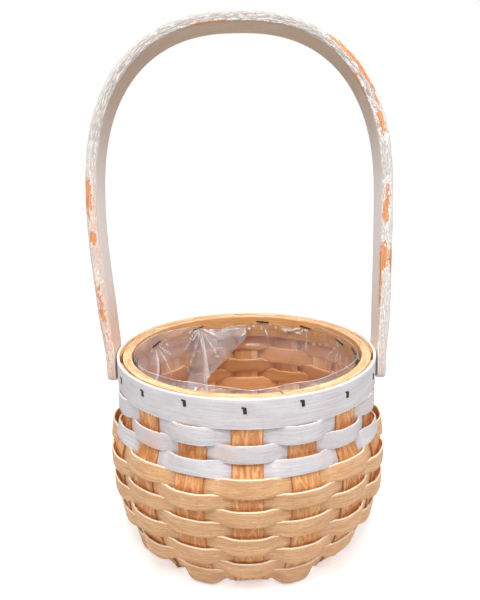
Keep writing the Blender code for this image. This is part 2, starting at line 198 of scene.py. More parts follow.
def thicken(piece, thickness, offset=0.0, group=None, thinnest=0.2, even=True):
    wall = piece.modifiers.new("wall", "SOLIDIFY")
    wall.thickness = thickness
    wall.offset = offset
    wall.use_even_offset = even and group is None
    if group:
        wall.vertex_group = group
        wall.thickness_vertex_group = thinnest
    applyAll(piece)


def easeEdges(piece, width, angle=50):
    ease = piece.modifiers.new("ease", "BEVEL")
    ease.width = width
    ease.segments = 2
    ease.limit_method = "ANGLE"
    ease.angle_limit = math.radians(angle)
    applyAll(piece)


def shadeRound(piece, angle=40):
    workOn(piece)
    bpy.ops.object.shade_smooth_by_angle(angle=math.radians(angle))


def faceOut(piece, turned=False):  # turned faces the shell inwards
    workOn(piece)
    bpy.ops.object.mode_set(mode="EDIT")
    bpy.ops.mesh.select_all(action="SELECT")
    bpy.ops.mesh.normals_make_consistent(inside=turned)
    bpy.ops.object.mode_set(mode="OBJECT")


def mergePoints(piece, reach):
    workOn(piece)
    bpy.ops.object.mode_set(mode="EDIT")
    bpy.ops.mesh.select_all(action="SELECT")
    bpy.ops.mesh.remove_doubles(threshold=reach)
    bpy.ops.object.mode_set(mode="OBJECT")


def copies(model, count):  # the model and copies of it, each with its own mesh
    made = [model]
    while len(made) < count:
        workOn(model)
        bpy.ops.object.duplicate()
        made.append(bpy.context.object)
    return made


def finishStrip(strip, ease):
    easeEdges(strip, ease)
    faceOut(strip)
    shadeRound(strip)


def thinOut(strip, fullAt):  # fullAt gives the share of the full thickness, by share along
    group = strip.vertex_groups.new(name="full")
    for vertex in strip.data.vertices:
        group.add([vertex.index], fullAt(vertex.co.x + 0.5), "REPLACE")


def paintPoints(piece, name, values):
    layer = piece.data.attributes.new(name, "FLOAT", "POINT")
    layer.data.foreach_set("value", values)


def handOver(piece, rider, slot, *nodes):
    # pieces are made about the body's axis and end in the frame
    piece.data.transform(Matrix.Translation((body["axisX"], 0, 0)))
    piece.data.update()
    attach(piece, rider)
    if nodes:
        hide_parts(*nodes)


def coat(piece, *materials):
    piece.data.materials.clear()
    for material in materials:
        piece.data.materials.append(material)


def coatSides(piece, outside, inside, edgeAt=None):
    # the strips are washed on their outside only; edgeAt gives the radius within which an
    # upper edge counts as inside, by height
    coat(piece, outside, inside)
    for face in piece.data.polygons:
        level = Vector((face.center.x, face.center.y, 0))
        within = face.normal.dot(level.normalized()) < -0.3
        if edgeAt and face.normal.z > 0.4:
            within = level.length < edgeAt(face.center.z)
        face.material_index = int(within)


# shader tools

class Wire:  # one output socket, with arithmetic that adds Math nodes
    def __init__(self, tree, socket):
        self.tree = tree
        self.socket = socket

    def maths(self, operation, *values, clamp=False):  # of this wire itself if values is empty
        return addNode(self.tree, "ShaderNodeMath", dict(enumerate(values or (self,))),
                       operation=operation, use_clamp=clamp)

    def __add__(self, other):
        return self.maths("ADD", self, other)

    def __radd__(self, other):
        return self.maths("ADD", other, self)

    def __sub__(self, other):
        return self.maths("SUBTRACT", self, other)

    def __rsub__(self, other):
        return self.maths("SUBTRACT", other, self)

    def __mul__(self, other):
        return self.maths("MULTIPLY", self, other)

    def __rmul__(self, other):
        return self.maths("MULTIPLY", other, self)

    def __truediv__(self, other):
        return self.maths("DIVIDE", self, other)

    def __rtruediv__(self, other):
        return self.maths("DIVIDE", other, self)

    def __neg__(self):
        return self.maths("MULTIPLY", self, -1)

    def __abs__(self):
        return self.maths("ABSOLUTE")


def addNode(tree, kind, values=None, output=0, **settings):
    node = tree.nodes.new(kind)
    for setting, value in settings.items():
        setattr(node, setting, value)
    for name, value in (values or {}).items():
        socket = node.inputs[name]
        if isinstance(value, Wire):
            tree.links.new(value.socket, socket)
        else:
            socket.default_value = value
    return Wire(tree, node.outputs[output])


def seenDirectly(tree):  # 1 for camera, glossy and transmission rays, 0 for the room's light
    path = addNode(tree, "ShaderNodeLightPath", output="Is Camera Ray")
    outputs = path.socket.node.outputs
    glossy = Wire(tree, outputs["Is Glossy Ray"])
    through = Wire(tree, outputs["Is Transmission Ray"])
    return path.maths("ADD", path, glossy + through, clamp=True)


def srgb(red, green, blue):  # 0 to 255 as seen, to the linear values that shaders take
    def linear(level):
        level /= 255
        return level / 12.92 if level <= 0.04045 else ((level + 0.055) / 1.055) ** 2.4
    return linear(red), linear(green), linear(blue)


class Finish:  # a material with one Principled shader
    def __init__(self, name, roughness=0.6, metallic=0.0):
        self.material = bpy.data.materials.new(name)
        self.material.use_nodes = True
        self.tree = self.material.node_tree
        self.shader = self.tree.nodes["Principled BSDF"]
        self.set("Roughness", roughness)
        self.set("Metallic", metallic)

    def set(self, socket, value):
        if isinstance(value, Wire):
            self.tree.links.new(value.socket, self.shader.inputs[socket])
        else:
            self.shader.inputs[socket].default_value = value

    def node(self, kind, values=None, output=0, **settings):
        return addNode(self.tree, kind, values, output, **settings)

    def parts(self, vector):
        first = self.node("ShaderNodeSeparateXYZ", {0: vector})
        return [Wire(self.tree, socket) for socket in first.socket.node.outputs]

    def uv(self):  # metres along and across the strip
        return self.parts(self.node("ShaderNodeTexCoord", output="UV"))[:2]

    def where(self):  # the place on the object, in metres
        return self.node("ShaderNodeTexCoord", output="Object")

    def place(self, x, y, z=0.0):
        return self.node("ShaderNodeCombineXYZ", {0: x, 1: y, 2: z})

    def cloud(self, place, scale=1.0, detail=3.0, rough=0.5, twist=0.0):
        return self.node("ShaderNodeTexNoise",
                         {"Vector": place, "Scale": scale, "Detail": detail,
                          "Roughness": rough, "Distortion": twist})

    def grain(self, along, across, detail=3, rough=0.5):
        return self.cloud(self.place(along, across), detail=detail, rough=rough)

    def step(self, value, low, high):
        return self.node("ShaderNodeMapRange", {0: value, 1: low, 2: high, 3: 0.0, 4: 1.0},
                         clamp=True, interpolation_type="SMOOTHSTEP")

    def mix(self, share, first, second):
        values = {0: share}
        for index, colour in ((6, first), (7, second)):
            values[index] = colour if isinstance(colour, Wire) else (*colour, 1)
        return self.node("ShaderNodeMix", values, output=2, data_type="RGBA")

    def attribute(self, name):
        return self.node("ShaderNodeAttribute", output="Fac", attribute_name=name)

    def relief(self, height, depth, strength=1.0):
        normal = self.node("ShaderNodeBump", {"Height": height, "Distance": depth,
                                              "Strength": strength})
        self.set("Normal", normal)


def darker(colour, share):
    return tuple(level * share for level in colour)


def veneerFinish(name, pale, mid, dark, edge, halfWidth, flame=0.0, grainy=1.0):
    # sliced wood: fine pores along the strip, broader bands, flames on the wide staves, and
    # painted shade and highlight along the edges
    finish = Finish(name, 0.62)
    along, across = finish.uv()
    pores = finish.grain(along * 60, across * 2600)
    specks = finish.grain(along * 420, across * 1300)
    bands = finish.grain(along * 9, across * 260)
    clouds = finish.grain(along * 26, across * 40, detail=2)
    lines = finish.grain(along * 42, across * 900, detail=4, rough=0.62)
    threads = finish.grain(along * 75, across * 1500, detail=4, rough=0.62)
    colour = finish.mix(finish.step(bands, 0.34, 0.66), mid, pale)
    colour = finish.mix(finish.step(lines, 0.48, 0.6) * 0.6 * grainy, colour, dark)
    colour = finish.mix(finish.step(threads, 0.54, 0.64) * 0.4 * grainy, colour, edge)
    colour = finish.mix(finish.step(specks, 0.55, 0.66) * 0.6 * grainy, colour, dark)
    colour = finish.mix(finish.step(clouds, 0.48, 0.72) * 0.4, colour, dark)
    if flame:
        flames = finish.cloud(finish.place(along * 48, across * 230), rough=0.6, twist=1.4)
        colour = finish.mix(finish.step(flames, 0.36, 0.5), edge, colour)
        colour = finish.mix(finish.step(flames, 0.48, 0.6) * flame, colour, dark)
        colour = finish.mix(finish.step(flames, 0.59, 0.67) * flame * 0.8, colour,
                            darker(dark, 0.62))
    colour = finish.mix(finish.step(pores, 0.54, 0.68) * 0.5 * grainy, colour, dark)
    rim = across / halfWidth
    if flame:
        # painted shade: both side edges of the staves are darkened where the weavers meet them
        colour = finish.mix(finish.step(abs(rim), 0.9, 0.97) * 0.7, colour, darker(dark, 0.7))
    else:
        # painted highlight along the upper edge, partly the paler cut edge, and painted shade
        # along the lower edge under the float
        colour = finish.mix(finish.step(rim, 0.85, 0.93), colour, edge)
        colour = finish.mix(finish.step(-rim, 0.88, 0.97) * 0.5, colour, dark)
    finish.set("Base Color", colour)
    finish.relief(pores + bands * 0.4, 0.00006, 0.4)
    return finish.material


def hoopFinish(name):
    # the top of the wound hoop: cream turns with orange grain running round with them; the cream
    # is partly painted light
    finish = Finish(name, 0.6)
    x, y, z = finish.parts(finish.where())
    x = x - body["axisX"]
    radius = (x * x + y * y).maths("SQRT")
    bearing = (x / radius, y / radius)
    fine = finish.cloud(finish.place(bearing[0] * 9, bearing[1] * 9, radius * 1500))
    broad = finish.cloud(finish.place(bearing[0] * 4, bearing[1] * 4, radius * 420))
    along, across = finish.uv()
    pores = finish.grain(along * 60, across * 2400)
    ply = (hoopHigh.x - hoopLow.x) / 2 - hoopInner
    turns = (radius - hoopInner) / (ply / 5) + bearing[0] * 0.3 + broad * 1.2
    seam = finish.step(abs(turns.maths("FRACT") - 0.5), 0.36, 0.47)
    seam = seam * finish.step(broad, 0.36, 0.48)
    top = finish.mix(finish.step(broad, 0.42, 0.66), srgb(246, 216, 174), srgb(238, 198, 148))
    top = finish.mix(finish.step(fine, 0.54, 0.64) * 0.85, top, srgb(224, 150, 84))
    top = finish.mix(seam * 0.8, top, srgb(214, 122, 58))
    wall = finish.mix(finish.step(pores, 0.4, 0.62), srgb(228, 172, 112), srgb(202, 138, 80))
    # the top face, turned up to the lamps, is paler than the wall: partly the cut edges' own
    # cream, partly painted light
    level = finish.step(z, hoopHigh.z - 0.0011, hoopHigh.z - 0.0005)
    finish.set("Base Color", finish.mix(level, wall, top))
    finish.relief(fine * level + pores * (1 - level), 0.00008, 0.5)
    return finish.material


def whiteWashFinish(name, halfWidth, rubFrom):
    # thin white over veneer: cool and faintly streaky, rubbed to orange wood at the edges, with
    # painted highlight along them
    finish = Finish(name, 0.72)
    along, across = finish.uv()
    wear = finish.attribute("wear")
    pores = finish.grain(along * 70, across * 2400)
    streaks = finish.grain(along * 26, across * 700)
    clouds = finish.grain(along * 55, across * 90)
    chips = finish.grain(along * 300, across * 700)
    specks = finish.grain(along * 560, across * 1300, detail=4, rough=0.65)
    edge = abs(across / halfWidth)
    lines = finish.grain(along * 60, across * 1100, detail=4, rough=0.65)
    wash = finish.mix(finish.step(streaks, 0.35, 0.68), srgb(207, 202, 206), srgb(220, 217, 220))
    wash = finish.mix(finish.step(clouds, 0.35, 0.7) * 0.5, wash, srgb(228, 227, 231))
    wash = finish.mix(finish.step(lines, 0.5, 0.64) * 0.35, wash, srgb(188, 179, 182))
    wash = finish.mix(finish.step(specks, 0.54, 0.66) * 0.4, wash, srgb(186, 178, 181))
    wash = finish.mix(finish.step(pores, 0.52, 0.75) * 0.3, wash, srgb(184, 176, 180))
    thin = finish.step(streaks * 0.6 + clouds * 0.4 + wear * 0.28, 0.6, 0.78)
    wash = finish.mix(thin * wear * 0.8, wash, srgb(232, 186, 162))
    # painted highlight: both edges of the washed face are made near white
    edgeHighlight = finish.step(edge, 0.9, 0.98)
    wash = finish.mix(edgeHighlight * 0.75, wash, srgb(252, 248, 246))
    rubbed = finish.step(edge + chips * 0.3 + clouds * 0.2 + wear * 0.04, rubFrom, rubFrom + 0.05)
    wood = finish.mix(finish.step(chips, 0.45, 0.6), srgb(206, 118, 72), srgb(240, 182, 130))
    finish.set("Base Color", finish.mix(rubbed, wash, wood))
    finish.set("Roughness", 0.78 - rubbed * 0.2)
    finish.relief(pores + streaks * 0.5 - rubbed * 0.8, 0.00008, 0.45)
    return finish.material


def paintFinish(name):
    # thick white paint brushed along the bow, worn through where the paint attribute falls;
    # painted shade next to the flat and under the top, painted light on the inner flat
    finish = Finish(name, 0.7)
    along, across = finish.uv()
    paint = finish.attribute("paint")
    inner = finish.attribute("inner")
    blush = finish.attribute("blush")
    z = finish.parts(finish.where())[2]
    high = finish.step(z, 0.26, 0.37)
    # painted shade: the half of the front next to the flat, where the rounded front turns down
    # from the lamps
    shadeNearFlat = finish.step(abs(across), 0.0145, 0.0225)  # the half of the front next to the flat
    fine = finish.grain(along * 520, across * 1100, detail=4, rough=0.65)
    strokes = finish.grain(along * 150, across * 950, detail=5, rough=0.66)
    scratches = finish.grain(along * 170, across * 1900, detail=4, rough=0.65)
    streaks = finish.grain(along * 45, across * 1500)
    flakes = finish.grain(along * 330, across * 420, detail=4, rough=0.7)
    left = paint + (strokes - 0.5) * 1.7 + (flakes - 0.5) * 1.3
    cover = finish.step(left, 0.42, 0.5)
    edge = finish.step(left, 0.45, 0.55) * (1 - finish.step(left, 0.6, 0.75))
    wood = finish.mix(finish.step(streaks, 0.4, 0.65), srgb(214, 128, 66), srgb(244, 176, 122))
    wood = finish.mix(finish.step(flakes, 0.5, 0.7) * high * 0.8, wood, srgb(178, 92, 56))
    strokeGreyAndShade = finish.mix(finish.step(fine, 0.42, 0.6), srgb(176, 166, 158), srgb(212, 204, 198))
    strokeGreyAndShade = finish.mix(high * 0.75, strokeGreyAndShade, srgb(144, 134, 126))
    white = finish.mix(finish.step(fine, 0.5, 0.62), srgb(226, 221, 217), srgb(250, 248, 246))
    # brush strokes go grey, and far more so as painted shade on the half next to the flat
    white = finish.mix(finish.step(strokes, 0.38, 0.56) * (0.1 + shadeNearFlat * 0.65 + high * 0.12),
                       white, strokeGreyAndShade)
    white = finish.mix(finish.step(scratches, 0.58, 0.7) * 0.4, white, srgb(226, 200, 184))
    stain = finish.mix(finish.step(strokes, 0.4, 0.6), srgb(212, 150, 116), srgb(238, 204, 186))
    white = finish.mix(blush * finish.step(scratches + fine * 0.3, 0.46, 0.7), white, stain)
    white = finish.mix(edge * (1 - blush * 0.5), white, srgb(254, 252, 250))
    # the inner flat: partly its own pale finish, partly painted light for the inner faces the
    # lamps leave in shade
    flat = finish.mix(finish.step(streaks, 0.3, 0.7), srgb(249, 242, 238), srgb(255, 251, 248))
    flat = finish.mix(finish.step(fine, 0.55, 0.7) * 0.35, flat, srgb(226, 210, 202))
    flat = finish.mix(blush * finish.step(0.24 - z, 0.0, 0.08), flat, srgb(252, 224, 208))
    # painted shade: the flat under the top of the bow is brownish grey, with brown streaks
    under = finish.mix(finish.step(streaks, 0.34, 0.62), srgb(186, 160, 138), srgb(206, 186, 168))
    under = finish.mix(finish.step(scratches, 0.52, 0.66) * 0.5, under, srgb(186, 140, 108))
    flat = finish.mix(high, flat, under)
    white = finish.mix(finish.step(inner, 0.4, 0.8), white, flat)
    finish.set("Base Color", finish.mix(cover, wood, white))
    finish.set("Roughness", 0.55 + cover * 0.2)
    finish.relief(cover * 0.6 + strokes * 0.6 + fine * 0.2, 0.0008, 0.8)
    return finish.material


def filmFinish(name):
    # clear film: nearly invisible where it lies flat, white where it is creased and where
    # highlights are painted
    finish = Finish(name, 0.14)
    haze = finish.attribute("haze")
    creaseAndHighlight = finish.attribute("creaseAndHighlight")
    fine = finish.cloud(finish.where(), scale=240.0)
    whiteCreaseAndHighlight = finish.step(creaseAndHighlight + fine * 0.3, 0.35, 0.85)
    finish.set("Base Color", finish.mix(whiteCreaseAndHighlight, srgb(248, 244, 252), srgb(255, 253, 252)))
    finish.set("Alpha", haze * (0.3 + fine * 0.25) + whiteCreaseAndHighlight * 0.62)
    finish.set("Specular IOR Level", 0.7)
    finish.relief(fine, 0.0003, 0.4)
    return finish.material


def ironFinish(name, colour, roughness):
    finish = Finish(name, roughness, 0.6)
    specks = finish.cloud(finish.where(), scale=900.0, detail=2.0)
    pale = tuple(min(1.0, level * 1.8 + 0.01) for level in colour)
    finish.set("Base Color", finish.mix(finish.step(specks, 0.45, 0.7), colour, pale))
    finish.set("Roughness", roughness + specks * 0.15)
    finish.relief(specks, 0.00006, 0.5)
    return finish.material


weaverHalfWidth = 0.0058  # as the grain is laid out on it, edge to edge
naturalVeneer = veneerFinish("naturalVeneer", srgb(229, 182, 136), srgb(218, 168, 120),
                             srgb(196, 142, 96), srgb(255, 240, 210), weaverHalfWidth)
staveVeneer = veneerFinish("staveVeneer", srgb(224, 161, 102), srgb(214, 148, 91),
                           srgb(205, 132, 76), srgb(238, 186, 132), body["staveWidth"] / 2, 0.6)
# the unwashed veneer of the inside faces, made paler and brighter than the outside veneer: painted
# light for the shade inside the basket
brightenedInsideVeneer = veneerFinish("brightenedInsideVeneer", srgb(252, 188, 122), srgb(246, 174, 108),
                            srgb(218, 140, 80), srgb(255, 208, 150), weaverHalfWidth,
                            grainy=0.35)
hoopVeneer = hoopFinish("hoopVeneer")
whiteWeaver = whiteWashFinish("whiteWeaver", weaverHalfWidth, 1.26)
whiteBand = whiteWashFinish("whiteBand", body["bandHeight"] / 2, 1.315)
bowPaint = paintFinish("bowPaint")
clearFilm = filmFinish("clearFilm")
darkIron = ironFinish("darkIron", srgb(44, 40, 40), 0.5)
greySteel = ironFinish("greySteel", srgb(120, 120, 124), 0.4)
print("stage: materials made")


# camera at the photograph's angle, set out from the middle of the rim
cameraSet = {
    "distance": 0.5549,
    "elevation": math.radians(19.36),
    "pitch": math.radians(15.34),
    "yaw": math.radians(-0.48),
    "roll": math.radians(-0.81),
    "focalPixels": 685.3,
    "longSidePixels": 600,
    "sensor": 36,
    "clipStart": 0.01,
}


def makeCamera():
    distance, elevation = cameraSet["distance"], cameraSet["elevation"]
    pitch, yaw, roll = cameraSet["pitch"], cameraSet["yaw"], cameraSet["roll"]
    data = bpy.data.cameras.new("photoCamera")
    data.sensor_fit = "AUTO"
    data.sensor_width = cameraSet["sensor"]
    data.lens = cameraSet["focalPixels"] * data.sensor_width / cameraSet["longSidePixels"]
    data.clip_start = cameraSet["clipStart"]
    camera = bpy.data.objects.new("photoCamera", data)
    scene.collection.objects.link(camera)
    forward = Vector((math.sin(yaw) * math.cos(pitch), math.cos(yaw) * math.cos(pitch),
                      -math.sin(pitch)))
    level = forward.cross(Vector((0, 0, 1))).normalized()
    upright = level.cross(forward)
    right = level * math.cos(roll) + upright * math.sin(roll)
    up = upright * math.cos(roll) - level * math.sin(roll)
    place = Vector((body["axisX"], -distance * math.cos(elevation),
                    body["height"] + distance * math.sin(elevation)))
    turn = Matrix((right, up, -forward)).transposed().to_4x4()
    camera.matrix_world = Matrix.Translation(place) @ turn
    scene.camera = camera


# lamps: (name, kind, place, size, watts, colour), all aimed at the middle of the mouth
lamps = (
    ("keyLamp", "AREA", (-0.9, -0.75, 1.15), 0.8, 7.4, (1.0, 0.99, 0.97)),
    ("fillLamp", "AREA", (0.9, -0.75, 1.05), 0.8, 7.4, (1.0, 0.99, 0.98)),
    ("topLamp", "AREA", (0.0, -0.25, 1.6), 0.9, 13.5, (1.0, 1.0, 1.0)),
    ("mouthLamp", "SPOT", (0.0, -0.95, 1.5), 0.15, 82.0, (1.0, 0.98, 0.96)),
)
mouthCone = {"angle": math.radians(8.6), "blend": 0.6}


def makeLamps():
    aim = Vector((body["axisX"], 0, body["height"]))
    for name, kind, place, size, watts, colour in lamps:
        data = bpy.data.lights.new(name, kind)
        if kind == "AREA":
            data.shape = "DISK"
            data.size = size
        else:
            data.shadow_soft_size = size
            data.spot_size = mouthCone["angle"]
            data.spot_blend = mouthCone["blend"]
        data.energy = watts
        data.color = colour
        lamp = bpy.data.objects.new(name, data)
        scene.collection.objects.link(lamp)
        lamp.location = place
        lamp.rotation_euler = (aim - Vector(place)).to_track_quat("-Z", "Y").to_euler()


# the room: its light, and the floor that glows to white far from the object
room = {"light": 0.22, "floorSize": 12, "floorCells": 8, "floorColour": (0.8, 0.8, 0.8, 1),
        "glow": 0.9, "nearGlow": (0.55, 0.55, 0.55), "glowRadii": (0.3, 1.6)}


def makeWorld():
    world = bpy.data.worlds.new("softRoom")
    scene.world = world
    world.use_nodes = True
    tree = world.node_tree
    back = tree.nodes["Background"]
    back.inputs["Color"].default_value = (1, 1, 1, 1)
    strength = seenDirectly(tree) * (1 - room["light"]) + room["light"]
    tree.links.new(strength.socket, back.inputs["Strength"])


def makeFloor():
    deselectAll()
    bpy.ops.mesh.primitive_grid_add(x_subdivisions=room["floorCells"],
                                    y_subdivisions=room["floorCells"], size=room["floorSize"])
    floor = bpy.context.object
    floor.name = "paleFloor"
    finish = Finish("paleFloor", 0.9)
    far = finish.node("ShaderNodeVectorMath", {0: finish.where()}, output="Value",
                      operation="LENGTH")
    glow = finish.mix(finish.step(far, *room["glowRadii"]), room["nearGlow"], (1, 1, 1))
    finish.set("Base Color", room["floorColour"])
    finish.set("Emission Color", glow)
    finish.set("Emission Strength", seenDirectly(finish.tree) * room["glow"])
    finish.set("Specular IOR Level", 0.0)
    coat(floor, finish.material)


makeCamera()
makeLamps()
makeWorld()
makeFloor()
print("stage: camera, lamps and floor made")


# rim band: one strip with thinned ends that lap at the back
band = {"lapAt": math.radians(197), "lap": 0.045, "steps": 360, "stepsAcross": 6,
        "proud": 0.0003, "tuckShare": 0.8, "thinShare": 0.15, "wave": 0.00018, "ease": 0.0004}


def makeBand():
    radius = body["rimRadius"]
    around = 2 * math.pi * radius
    length = around + band["lap"]
    strip = flatStrip("rimBand", band["steps"], band["stepsAcross"])
    centre = body["height"] - body["bandHeight"] / 2

    def placeAt(along, across):
        run = along * length
        azimuth = band["lapAt"] + run / radius
        under = 1 - smooth(run / band["lap"])  # the first end lies under the last one
        over = smooth((run - around) / band["lap"] * 4)
        r = radius - body["bandThickness"] * under * band["tuckShare"] + band["proud"] * over
        wobble = noise.noise(Vector((math.sin(azimuth) * 2, math.cos(azimuth) * 2, 3)))
        height = centre + across * body["bandHeight"] / 2
        height += band["wave"] * wobble * (1 if across < 0 else 0.4)
        return outward(azimuth) * r + Vector((0, 0, height))

    def fullAt(along):
        run = along * length
        return smooth(run / band["lap"]) * smooth((length - run) / band["lap"])

    thinOut(strip, fullAt)
    bendStrip(strip, placeAt, length, body["bandHeight"])
    thicken(strip, body["bandThickness"], -1.0, "full", band["thinShare"])
    finishStrip(strip, band["ease"])
    coatSides(strip, whiteBand, naturalVeneer)
    handOver(strip, "basket", "white_wash", "outer_band")


# inner hoop: one long strip wound in five turns
hoop = {"turns": 5, "stepsATurn": 120, "closeness": 0.94, "startAt": math.radians(128),
        "lift": 0.0005, "drift": 0.00006, "thinEnds": 0.03, "thinShare": 0.2, "ease": 0.0002}


def makeHoop():
    inner = hoopInner
    outer = (hoopHigh.x - hoopLow.x) / 2
    ply = body["hoopThickness"] / (hoop["turns"] / hoop["closeness"] + 1)
    middle = (inner + outer) / 2
    length = 2 * math.pi * middle * hoop["turns"]
    height = hoopHigh.z - hoopLow.z
    centre = (hoopHigh.z + hoopLow.z) / 2
    strip = flatStrip("rimHoop", hoop["turns"] * hoop["stepsATurn"], 2)

    def placeAt(along, across):
        turn = along * hoop["turns"]
        azimuth = hoop["startAt"] + turn * 2 * math.pi
        r = inner + ply / 2 + (outer - inner - ply) * along
        wobble = noise.noise(Vector((math.sin(azimuth) * 3, math.cos(azimuth) * 3, turn * 1.7)))
        level = noise.noise(Vector((math.sin(azimuth), math.cos(azimuth), turn * 2.3 + 9)))
        z = centre + across * height / 2 + hoop["lift"] * (level - 0.4) * (across > 0)
        return outward(azimuth) * (r + hoop["drift"] * wobble) + Vector((0, 0, z))

    def fullAt(along):
        return smooth(min(along, 1 - along) * length / hoop["thinEnds"])

    thinOut(strip, fullAt)
    bendStrip(strip, placeAt, length, height)
    thicken(strip, ply, 0.0, "full", hoop["thinShare"])
    finishStrip(strip, hoop["ease"])
    coat(strip, hoopVeneer)
    handOver(strip, "basket", "hoop_wood", "inner_hoop")


# weavers: strips that float out over one stave and tuck in behind the next
weaver = {"stepsAStave": 24, "stepsAcross": 4, "crown": 0.00008, "uneven": 0.12,
          "wobble": 0.0001, "lapStaves": 1.6, "lapAt": math.radians(150), "wider": 0.00017,
          "lapShift": math.radians(22.5), "lapGap": 0.0001, "ease": 0.0002, "white": 3,
          "tuck": 0.00135, "hug": 1.4, "spread": 0.0008, "shoulder": 0.0010,
          "lastDrop": 0.0045, "paleLip": 0.0006, "grainShift": 1.37}
# where the white is rubbed thin: (row, azimuth in degrees, reach in degrees, share)
wornWeavers = ((1, -62, 26, 0.9), (1, -40, 12, 0.7), (0, -33, 22, 0.45), (1, -8, 14, 0.55),
               (1, 20, 30, 0.3), (2, 33, 16, 0.5), (2, -30, 12, 0.25), (0, 62, 24, 0.5),
               (1, 52, 18, 0.4))


def floatWave(azimuth, row):
    wave = math.cos(math.pi * azimuth / staveStep)
    if row % 2 == 0:
        wave = -wave
    return wave * (1.5 - 0.5 * wave * wave)


def makeWeaver(row):
    top, bottom = rowEdges[row]
    top -= weaver["wider"]
    bottom += weaver["wider"] + (weaver["lastDrop"] if row == len(rowEdges) - 1 else 0)
    (radiusTop, heightTop, normalTop), (radiusBottom, heightBottom, normalBottom) = (
        side.at(top), side.at(bottom))
    upright = body["floatUpright"] * (radiusTop - radiusBottom) / 2
    lap = weaver["lapStaves"] * staveStep
    turn = 2 * math.pi + lap
    start = weaver["lapAt"] + row % 4 * weaver["lapShift"]
    steps = int((body["staveCount"] + weaver["lapStaves"]) * weaver["stepsAStave"])
    middle = (radiusTop + radiusBottom) / 2
    strip = flatStrip("weaver{:02d}".format(row + 1), steps, weaver["stepsAcross"])

    def placeAt(along, across):
        azimuth = start + along * turn
        wave = floatWave(azimuth, row)
        crossing = round(azimuth / staveStep) % body["staveCount"]
        chance = noise.cell(Vector((crossing * 3.1 + 0.5, row * 5.3 + 0.5, 0.5)))
        reach = body["floatOut"] * (1 + weaver["uneven"] * (chance - 0.5) * 2 * max(0, wave))
        offset = (reach if wave > 0 else -weaver["tuck"]) * abs(wave) ** weaver["hug"]
        first = smooth((lap + staveStep * 0.5 - (azimuth - start)) / (staveStep * 0.5))
        last = smooth((azimuth - start - 2 * math.pi + staveStep * 0.5) / (staveStep * 0.5))
        offset += (last - first) * (body["weaverThickness"] / 2 + weaver["lapGap"])
        up = (across + 1) / 2
        radial = normalBottom[0] + (normalTop[0] - normalBottom[0]) * up
        vertical = normalBottom[1] + (normalTop[1] - normalBottom[1]) * up
        radius = radiusBottom + (radiusTop - radiusBottom) * up
        height = heightBottom + (heightTop - heightBottom) * up
        height += across * weaver["spread"] * smooth((abs(wave) - 0.15) / 0.35)
        height += (across * weaver["shoulder"] * smooth((-wave - 0.15) / 0.3)
                   * smooth((wave + 1.02) / 0.3))
        flare = -across * upright * max(0, offset) / body["floatOut"]
        bow = weaver["crown"] * (1 - across * across) * max(0, wave)
        sway = weaver["wobble"] * noise.noise(Vector((math.sin(azimuth) * 4,
                                                      math.cos(azimuth) * 4, row * 3.7)))
        r = radius + radial * (offset + bow) + flare
        return outward(azimuth) * r + Vector((0, 0, height + vertical * (offset + bow) + sway))

    wear = []
    for vertex in strip.data.vertices:
        degrees = (math.degrees(start + (vertex.co.x + 0.5) * turn) + 180) % 360 - 180
        wear.append(sum(share * bump(degrees, place, reach)
                        for where, place, reach, share in wornWeavers if where == row))
    paintPoints(strip, "wear", wear)
    bendStrip(strip, placeAt, middle * turn, 2 * weaverHalfWidth,
              start=row * weaver["grainShift"])
    thicken(strip, body["weaverThickness"])
    finishStrip(strip, weaver["ease"])
    slope = (radiusTop - radiusBottom) / (heightTop - heightBottom)
    coatSides(strip, whiteWeaver if row < weaver["white"] else naturalVeneer, brightenedInsideVeneer,
              lambda z: radiusBottom + slope * (z - heightBottom) + weaver["paleLip"])
    handOver(strip, "basket", "white_wash" if row < weaver["white"] else "weaver_wood",
             "weaver_{:02d}".format(row + 1))


# long splints: up one side, over and under across the base, up the other side
splint = {"stepsAStation": 3, "sideStep": 0.003, "stepsAcross": 6, "ease": 0.00025,
          "grainShift": 0.83}


def splintHalf(group, index, end):
    # stations from the middle of the base up to the rim: centre, sideways, facing, cup
    lateral = index - (groupSize - 1) / 2
    axis = staveStep / 2 + group * math.pi / 2 + (0 if end > 0 else math.pi)
    azimuth = axis + end * lateral * staveStep
    offset = sideways(axis) * end * lateral * body["plaitPitch"]
    reach = body["staveWidth"] / 2 + body["plaitLanding"]
    stations = []
    for crossing in range(groupSize // 2):
        place = (crossing + 0.5) * body["plaitPitch"]
        along = end * (crossing + 0.5)
        partner = along + (groupSize - 1) / 2 if group else (groupSize - 1) / 2 - along
        over = (round(partner) + index + group) % 2 == 0
        level = plaitMiddle + (plaitRise if over else -plaitRise)
        for edge in (place - reach, place + reach):
            centre = outward(axis) * edge + offset + Vector((0, 0, level))
            stations.append((centre, sideways(axis), Vector((0, 0, -1)), 0.0))
    rowsEnd = rowEdges[-1][1]
    turnIn = side.total - rowsEnd
    climbs = [(rowsEnd + turnIn * share, 1 - share) for share in turnShares]
    pieces = math.ceil((rowsEnd - body["staveDrop"]) / splint["sideStep"])
    for step in range(pieces + 1):
        climbs.append((rowsEnd + (body["staveDrop"] - rowsEnd) * step / pieces, 1))
    for length, settled in climbs:
        radius, height, (radial, vertical) = side.at(length)
        bearing = axis + (azimuth - axis) * settled
        facing = (outward(bearing) * radial + Vector((0, 0, vertical))).normalized()
        centre = outward(azimuth) * radius + Vector((0, 0, height))
        halfAngle = math.asin(body["staveWidth"] / 2 / radius)
        cup = radius * (1 - math.cos(halfAngle)) * radial * settled
        stations.append((centre, sideways(bearing), facing, cup))
    return stations


